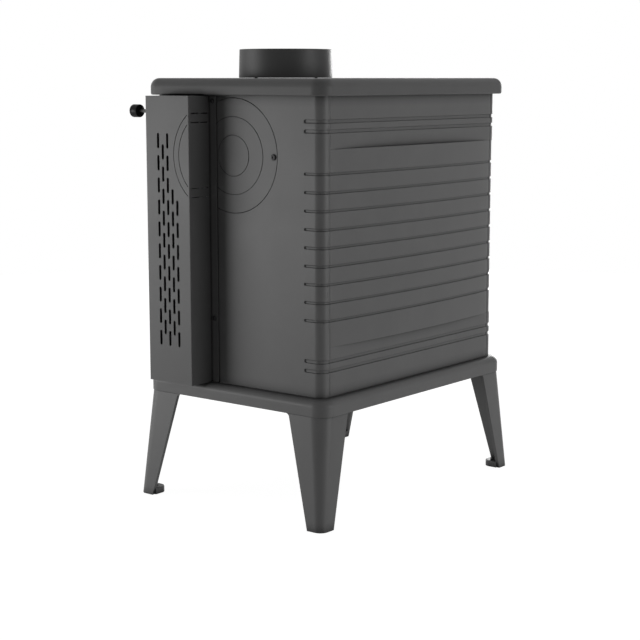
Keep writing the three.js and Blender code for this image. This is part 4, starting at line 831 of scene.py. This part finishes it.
def slots():
    """Staggered columns of upright slots, left out where the round outlet is marked."""
    holes = []
    for column in range(SLOT_COLUMNS):
        x = SLOT_MIDDLE + (SLOT_COLUMNS // 2 - column) * SLOT_ACROSS
        odd = column % 2
        for row in range(SLOT_ROWS - odd):
            z = SLOT_TOP - odd * SLOT_DOWN / 2 - row * SLOT_DOWN
            past = max(0.0, abs(z - OUTLET_Z) - SLOT_HALF - SLOT_ROUND)
            if math.hypot(x - SLOT_ROUND - OUTLET_X, past) > SLOTS_OUTSIDE:
                holes.append(
                    arc((x, z + SLOT_HALF), SLOT_ROUND, 0, 180)
                    + arc((x, z - SLOT_HALF), SLOT_ROUND, 180, 360)
                )
    return holes


def arc_slit(radius, limit):
    """A curved slit about the outlet's middle, up to a limit in x."""
    reach = math.degrees(math.acos((limit - OUTLET_X) / radius))
    centre, half = (OUTLET_X, OUTLET_Z), SLIT_WIDE / 2
    return (
        arc(centre, radius + half, -reach, reach, SLIT_STEPS)
        + arc(centre, radius - half, reach, -reach, SLIT_STEPS)
    )


box_z = (BOX_LOW, BOX_HIGH)
face_x = (BOX_LEFT + BEND, BOX_RIGHT - BEND)
foot_y = (BOX_FOOT, BOX_FOOT + SHEET)
wall_x = (BOX_LEFT, BOX_LEFT + SHEET)
wall_y = (foot_y[0] + BEND + SHEET, BOX_BACK - BEND)
end_outline = rectangle((BOX_LEFT + 0.2, BOX_RIGHT - 0.2), (BOX_FOOT, BOX_BACK - 0.2))
face_holes = slots() + [arc_slit(radius, face_x[0] + 0.8) for radius in SLIT_RADII]
wall_slits = []
for out in WALL_SLIT_OUT:
    for z in about(OUTLET_Z, out):
        for y in WALL_SLIT_Y:
            wall_slits.append(rectangle(y, about(z, WALL_SLIT_HALF)))
air_box = join(
    plate(rectangle(face_x, box_z), "y", BOX_BACK - SHEET, BOX_BACK, face_holes,
          edges=(0, 0), hole_edge=0.15),
    plate(rectangle(wall_y, box_z), "x", *wall_x, wall_slits, edges=(0, 0), hole_edge=0.05),
    plate(rectangle((BOX_LEFT - INNER_FLANGE, wall_x[1]), box_z), "y", *foot_y,
          edges=(0.2, 0.4)),
    plate(rectangle((foot_y[0], wall_y[0]), box_z), "x", *wall_x, edges=(0, 0)),
    box_ribbon([(face_x[0], BOX_BACK), (BOX_LEFT, BOX_BACK), (BOX_LEFT, wall_y[1])]),
    box_ribbon([(BOX_RIGHT, foot_y[1]), (BOX_RIGHT, BOX_BACK), (face_x[1], BOX_BACK)]),
    plate(rectangle((BOX_RIGHT - SHEET, BOX_RIGHT + OUTER_FLANGE), box_z), "y", *foot_y,
          edges=(0.2, 0.4)),
    plate(end_outline, "z", BOX_LOW, BOX_LOW + SHEET, edges=(0.2, 0.2)),
    plate(end_outline, "z", BOX_HIGH - SHEET, BOX_HIGH, edges=(0.2, 0.2)),
)
piece("air_box.sheet", air_box, SHEET_PAINT, "stove_body", "air_box")
for across, x in BOX_SCREW_X.items():
    for level, z in BOX_SCREW_Z.items():
        pan_screw(
            f"air_box_screw_{across}_{level}", radius=3.4, height=1.8, shank=1.8, length=7.0,
            centre=(x, foot_y[1] + GAP, z),
        )

# ---------- Air control ----------

ROD_Y, ROD_Z, ROD_RADIUS = 270.5, 644.0, 3.0
KNOB_X, KNOB_LENGTH, KNOB_RADIUS = 185.0, 15.5, 10.5

rod_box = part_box("air_rod")
rod_start, rod_end = rod_box[0].x / MM, rod_box[1].x / MM
rod_long = rod_end - rod_start
rod_line = soften([(0, 0), (ROD_RADIUS, 0), (ROD_RADIUS, rod_long), (0, rod_long)], 0.6, 3)
rod = turned(rod_line, "x", (rod_start, ROD_Y, ROD_Z), 32)
piece("air_rod.drawn", rod, DULL_STEEL, "air_control", "air_rod")
knob_line = soften(
    [(0, 0.5), (3.3, 0.5), (3.3, 0.0), (KNOB_RADIUS, 0), (KNOB_RADIUS, KNOB_LENGTH),
     (0, KNOB_LENGTH)],
    1.6, 5,
)
knob = turned(knob_line, "x", (KNOB_X, ROD_Y, ROD_Z), 64)
grub = turned(
    [(0, -1), (1.9, -1), (1.9, 0.12), (1.1, 0.12), (0.9, -0.6), (0, -0.6)],
    "y", (KNOB_X + KNOB_LENGTH / 2, ROD_Y + KNOB_RADIUS - 0.1, ROD_Z), 24,
)
piece("air_knob.moulded", knob, PLASTIC, "air_control", "air_knob")
piece("air_knob_grub_screw", grub, SCREW, "air_control")
eased("air_shutter", ZINC, 0.3)

# ---------- Front frame, hinges and latch keeper ----------

FRONT_HOLE_HALF, FIRE_HOLE_Z, ASH_HOLE_Z = 110, (320, 620), (222, 282)
HINGE_LUG_TALL, HINGE_LUG_Y = 16.0, -244.0
KEEPER_HEAD = 1.6
PIN_FOOT = 30.3  # the pin's head sits this far over its hinge's level

front_holes = [
    rounded(about(0, FRONT_HOLE_HALF), FIRE_HOLE_Z, 10),
    rectangle(about(0, FRONT_HOLE_HALF), ASH_HOLE_Z),
]
lug_outline = arc((HINGE_X, HINGE_Y), HINGE_RADIUS, 180, 360, 16)
lug_outline += [(HINGE_X + HINGE_RADIUS, HINGE_LUG_Y), (HINGE_X - HINGE_RADIUS, HINGE_LUG_Y)]
front = join(
    plate(rectangle(about(0, FRONT_HALF), (PANEL_LOW, PANEL_HIGH)), "y",
          -HALF_DEPTH, -HALF_DEPTH + WALL, front_holes, edges=(0.5, 0.5), hole_edge=1.0),
    *(plate(lug_outline, "z", level - HINGE_LUG_TALL, level - GAP, edges=(0.7, 0.7))
      for level in HINGE_LEVELS.values()),
)
piece("front_frame.cast", front, CAST, "stove_body", "front_frame")
eased("latch_keeper", ZINC, 0.5)
pan_screw(
    "keeper_screw", radius=3.0, height=KEEPER_HEAD, shank=1.6, length=8.0,
    centre=head_seat("keeper_screw", KEEPER_HEAD, -1), way=-1,
)
pin_line = soften([(0, -42.3), (4.0, -42.3), (4.0, 0), (6.0, 0), (6.0, 2.0), (0, 2.0)], 0.7)
for name, level in HINGE_LEVELS.items():
    node = "hinge_pin_" + name
    pin = turned(pin_line, "z", (HINGE_X, HINGE_Y, level + PIN_FOOT), 40)
    piece(node + ".turned", pin, ZINC, "stove_body", node)

# ---------- Door ----------

DOOR_HALF, WINDOW_HALF = (127.0, 167.0), (88.0, 120.0)
DOOR_CORNER, WINDOW_CORNER = 10, 6
RIM_DEEP, STEP_DEEP, GLASS_THICK = 2.0, 8.4, 5.0
STEP_OUT, REBATE_OUT, GLASS_OUT = 5.0, 9.0, 8.7
CHANNEL_OUTER, CHANNEL_MIDDLE, CHANNEL_INNER = 7.0, 11.0, 15.0
KNUCKLE_TALL, DOOR_SIDE = 30.0, 126.0
EAR_RADIUS, SPINDLE_BORE = 9.0, 5.3
ROPE_Y, ROPE_HALF_WIDE, ROPE_HALF_DEEP, ROPE_SIDES = -250.0, 3.7, 4.2, 16
RETAINER_HEAD = 1.4


def round_window(out, radius):
    """An outline round the window, this far outside its edge."""
    return rounded(about(0, WINDOW_HALF[0] + out), about(DOOR_Z, WINDOW_HALF[1] + out), radius)


def in_door(distance, radius):
    """An outline this far inside the door's edge."""
    across, up = (half - distance for half in DOOR_HALF)
    return rounded(about(0, across), about(DOOR_Z, up), radius)


knuckle_outline = arc((HINGE_X, HINGE_Y), HINGE_RADIUS, 90, 270, 16)
knuckle_outline += [(-DOOR_SIDE, HINGE_Y - HINGE_RADIUS), (-DOOR_SIDE, HINGE_Y + HINGE_RADIUS)]
ear = arc((HANDLE_X, DOOR_Z), EAR_RADIUS, -90, 90, 16)
ear += [(DOOR_SIDE, DOOR_Z + EAR_RADIUS), (DOOR_SIDE, DOOR_Z - EAR_RADIUS)]
door_outline = in_door(0, DOOR_CORNER)
rebate = round_window(REBATE_OUT, 2.3)
rim_y, step_y, glass_y = DOOR_FRONT + RIM_DEEP, DOOR_FRONT + STEP_DEEP, DOOR_BACK - GLASS_THICK
door = join(
    plate(door_outline, "y", DOOR_FRONT, rim_y, [round_window(STEP_OUT, 11)],
          edges=(RIM_DEEP, 0), hole_edge=0.7),
    plate(door_outline, "y", rim_y, step_y, [round_window(0, WINDOW_CORNER)],
          edges=(0, 0), hole_edge=0.7),
    plate(door_outline, "y", step_y, glass_y, [rebate], edges=(0, 0), hole_edge=0.0),
    plate(door_outline, "y", glass_y, DOOR_BACK, [in_door(CHANNEL_OUTER, 10)],
          edges=(0, 1.2), hole_edge=0.5),
    plate(in_door(CHANNEL_INNER, 2), "y", glass_y, DOOR_BACK, [rebate], edges=(0, 0.5)),
    plate(ear, "y", DOOR_FRONT, DOOR_BACK, [circle((HANDLE_X, DOOR_Z), SPINDLE_BORE, 32)],
          edges=(1.0, 1.0)),
    *(plate(knuckle_outline, "z", level, level + KNUCKLE_TALL, edges=(0.8, 0.8))
      for level in HINGE_LEVELS.values()),
)
piece("door_frame.cast", door, CAST, "door", "door_frame")


def rope_form():
    """The door's rope, an oval section run round in its channel."""
    path = counter_clockwise(in_door(CHANNEL_MIDDLE, 6))
    rings = []
    for j in range(ROPE_SIDES):
        turn = 2 * math.pi * j / ROPE_SIDES
        loop = inset(path, ROPE_HALF_WIDE * math.cos(turn))
        rings.append([(x, ROPE_Y + ROPE_HALF_DEEP * math.sin(turn), z) for x, z in loop])
    return lofted(rings, closed=True)


piece("door_rope.knitted", rope_form(), ROPE, "door", "door_rope", smooth=80)
glass = plate(round_window(GLASS_OUT, 2), "y", glass_y, DOOR_BACK, edges=(0.4, 0.4))
piece("door_glass.rolled", glass, GLASS, "door", "door_glass")
eased("glass_gasket", ROPE, 0.5)
for level in ("lower", "upper"):
    eased("glass_retainer_" + level, ZINC, 0.4)
    node = "retainer_screw_" + level
    pan_screw(
        node, radius=3.8, height=RETAINER_HEAD, shank=2.0, length=6.0,
        centre=head_seat(node, RETAINER_HEAD, 1), body="door",
    )

# ---------- Door handle ----------

HUB_FRONT, LEVER_Y = DOOR_FRONT - 8.0, DOOR_BACK - 37.0
LEVER_RADIUS, LEVER_BEND, LEVER_TOP, LEVER_END = 4.3, 9.0, 456.5, 380.5
LEVER_ROOT_Y = DOOR_FRONT - 4.2
SPINDLE_HEAD, SPINDLE_RADIUS, CAM_SEAT_RADIUS, CAM_SEAT_Y = 8.0, 5.0, 3.5, DOOR_BACK + 3.3
GRIP_LOW = 373.7

hub_back = DOOR_FRONT - GAP
hub_line = [
    (SPINDLE_BORE, HUB_FRONT), (EAR_RADIUS, HUB_FRONT), (EAR_RADIUS, hub_back),
    (SPINDLE_BORE, hub_back),
]
hub = turned(soften(hub_line, 0.8, 3, closed=True), "y", (HANDLE_X, 0, DOOR_Z), 40)
lever_line = soften(
    [(LEVER_TOP + LEVER_BEND, LEVER_ROOT_Y), (LEVER_TOP, LEVER_ROOT_Y), (LEVER_TOP, LEVER_Y),
     (LEVER_END, LEVER_Y)],
    LEVER_BEND, 8,
)
bar = tube([(HANDLE_X, y, z) for z, y in lever_line], LEVER_RADIUS, 24)
piece("handle_lever.forged", join(hub, bar), ZINC, "door_handle", "handle_lever", smooth=60)
head_y = HUB_FRONT - GAP
spindle_line = soften(
    [(0, head_y - 2.5), (SPINDLE_HEAD, head_y - 2.5), (SPINDLE_HEAD, head_y),
     (SPINDLE_RADIUS, head_y), (SPINDLE_RADIUS, DOOR_BACK), (CAM_SEAT_RADIUS, DOOR_BACK),
     (CAM_SEAT_RADIUS, CAM_SEAT_Y), (0, CAM_SEAT_Y)],
    0.8,
)
spindle = turned(spindle_line, "y", (HANDLE_X, 0, DOOR_Z), 40)
piece("handle_spindle.turned", spindle, ZINC, "door_handle", "handle_spindle")
grip_line = [
    (0, 0), (5.2, 0), (6.8, 0.8), (7.6, 2.6), (8.4, 12), (8.9, 28), (9.0, 40), (8.6, 54),
    (7.6, 66), (7.2, 70.6), (6.6, 71.7), (5.4, 72.0), (0, 72.0),
]
grip = turned(soften(grip_line, 1.6, 3), "z", (HANDLE_X, LEVER_Y, GRIP_LOW), 48)
piece("handle_grip.moulded", grip, PLASTIC, "door_handle", "handle_grip")
eased("latch_cam", ZINC, 0.5)

# ---------- Ash drawer ----------

DRAWER_Z, DRAWER_BACK, DRAWER_THICK = 252.0, -245.8, 12.0
DRAWER_HALF, DRAWER_FIELD_HALF, DRAWER_RIM = (127, 39), (117, 29), 2.0

drawer_face = DRAWER_BACK - DRAWER_THICK
field_y = drawer_face + DRAWER_RIM
drawer_outline = rounded(about(0, DRAWER_HALF[0]), about(DRAWER_Z, DRAWER_HALF[1]), 10)
drawer_field = rounded(
    about(0, DRAWER_FIELD_HALF[0]), about(DRAWER_Z, DRAWER_FIELD_HALF[1]), 4
)
boss_line = soften([(0, 0), (12, 0), (11, 2.2), (0, 2.2)], 0.8, 3)
drawer_front = join(
    plate(drawer_outline, "y", drawer_face, field_y, [drawer_field],
          edges=(DRAWER_RIM, 0), hole_edge=0.8),
    plate(drawer_outline, "y", field_y, DRAWER_BACK, edges=(0, 1.0)),
    turned(boss_line, "y", (0, field_y + 0.1, DRAWER_Z), 48, -1),
)
piece("ash_drawer_front.cast", drawer_front, CAST, "ash_drawer", "ash_drawer_front")
drawer_knob_line = soften(
    [(0, -6), (4, -6), (4, 0), (7.5, 0), (7.5, 5), (15, 10), (15, 16), (11, 20), (0, 20)],
    2.2, 5,
)
drawer_knob = turned(drawer_knob_line, "y", (0, drawer_face - GAP, DRAWER_Z), 64, -1)
piece("ash_drawer_knob.moulded", drawer_knob, PLASTIC, "ash_drawer", "ash_drawer_knob")
eased("ash_pan", SHEET_PAINT, 0.5)
for name in ("left", "right"):
    eased("pan_runner_" + name, ZINC, 0.4)

# ---------- Inside the firebox ----------

for node, material, bevel in (
    ("grate_bed", SOOTY, 0.8), ("grate", SOOTY, 1.0), ("baffle_plate", SOOTY, 1.0),
    ("log_guard", SOOTY, 1.2), ("side_liner_left", FIRE_CLAY, 1.2),
    ("side_liner_right", FIRE_CLAY, 1.2), ("back_liner", FIRE_CLAY, 1.2),
):
    eased(node, material, bevel)

# ---------- Camera ----------

PICTURE_WIDTH, FOCAL_LENGTH, MIDDLE_SHIFT = 640, 1516, -3  # in pixels of the photograph
SENSOR_WIDTH = 36.0
CAMERA_PLACE = (-1.601, 2.050, 0.697)  # in metres
CAMERA_RIGHT, CAMERA_UP = (-0.78478, -0.61978, 0.0), (0.09770, -0.12371, 0.98750)

scene = bpy.context.scene
camera = bpy.data.objects.new("camera", bpy.data.cameras.new("camera"))
scene.collection.objects.link(camera)
right, up = Vector(CAMERA_RIGHT), Vector(CAMERA_UP)
turn = Matrix((right, up, right.cross(up))).transposed().to_4x4()
camera.matrix_world = Matrix.Translation(CAMERA_PLACE) @ turn
camera.data.sensor_width = SENSOR_WIDTH
camera.data.lens = SENSOR_WIDTH * FOCAL_LENGTH / PICTURE_WIDTH
camera.data.shift_x = MIDDLE_SHIFT / PICTURE_WIDTH
scene.camera = camera

# ---------- Floor, world and lamps ----------

ROOM_LIGHT, FLOOR_GLOW = 0.075, 0.945
FLOOR_RADIUS, FLOOR_SIDES = 3000.0, 96
LAMP_TARGET = (0, 0, 0.4)

scene.view_settings.view_transform = "Standard"


def seen_directly(tree):
    """1 for the rays that show a background, straight on or in a reflection or through glass."""
    path = add(tree, "ShaderNodeLightPath").outputs
    shine = add(
        tree, "ShaderNodeMath", operation="MAXIMUM",
        links={0: path["Is Glossy Ray"], 1: path["Is Transmission Ray"]},
    )
    return add(
        tree, "ShaderNodeMath", operation="MAXIMUM",
        links={0: path["Is Camera Ray"], 1: shine.outputs[0]},
    ).outputs[0]


world = bpy.data.worlds.new("studio")
scene.world = world
world.use_nodes = True
tree = world.node_tree
tree.nodes.clear()
white_paint = linear("ffffff")
room = add(tree, "ShaderNodeBackground", {"Color": white_paint, "Strength": ROOM_LIGHT})
white = add(tree, "ShaderNodeBackground", {"Color": white_paint, "Strength": 1.0})
mixed = add(tree, "ShaderNodeMixShader",
            links={0: seen_directly(tree), 1: room.outputs[0], 2: white.outputs[0]})
add(tree, "ShaderNodeOutputWorld", links={"Surface": mixed.outputs[0]})

# The floor lights the stove as pale paint does. Where it is seen, it glows to white all but for
# the stove's shadow.
floor_material = bpy.data.materials.new("studio_floor")
floor_material.use_nodes = True
tree = floor_material.node_tree
tree.nodes.clear()
lit = add(tree, "ShaderNodeBsdfDiffuse", {"Color": linear("ececec")})
shown_lit = add(tree, "ShaderNodeBsdfDiffuse", {"Color": linear("9c9c9c")})
glow = add(tree, "ShaderNodeEmission", {"Color": white_paint, "Strength": FLOOR_GLOW})
shown = add(tree, "ShaderNodeAddShader", links={0: shown_lit.outputs[0], 1: glow.outputs[0]})
floor_mix = add(tree, "ShaderNodeMixShader",
                links={0: seen_directly(tree), 1: lit.outputs[0], 2: shown.outputs[0]})
add(tree, "ShaderNodeOutputMaterial", links={"Surface": floor_mix.outputs[0]})
floor_mesh = bpy.data.meshes.new("floor")
floor_rim = [(x * MM, y * MM, 0.0) for x, y in circle((0.0, 0.0), FLOOR_RADIUS, FLOOR_SIDES)]
floor_mesh.from_pydata(floor_rim, [], [range(FLOOR_SIDES)])
floor_mesh.materials.append(floor_material)
floor = bpy.data.objects.new("floor", floor_mesh)
scene.collection.objects.link(floor)


def lamp(name, turn, distance, height, size, power):
    """A soft panel at a compass turn from the back of the stove, towards its left side.

    Its distance, height and size are in metres.
    """
    light = bpy.data.lights.new(name, "AREA")
    light.shape = "RECTANGLE"
    light.size, light.size_y = size
    light.energy = power
    made = bpy.data.objects.new(name, light)
    way = math.radians(turn)
    made.location = (-distance * math.sin(way), distance * math.cos(way), height)
    to_stove = Vector(LAMP_TARGET) - made.location
    made.rotation_euler = to_stove.to_track_quat("-Z", "Y").to_euler()
    scene.collection.objects.link(made)


lamp("back_panel_light", turn=-46, distance=3.2, height=0.2, size=(2.0, 0.9), power=74)
lamp("side_panel_light", turn=100, distance=3.2, height=0.3, size=(1.4, 0.9), power=43.5)
lamp("front_panel_light", turn=-160, distance=3.2, height=0.6, size=(1.8, 1.2), power=45)
lamp("overhead_light", turn=0, distance=0.01, height=3.0, size=(1.2, 1.2), power=9)
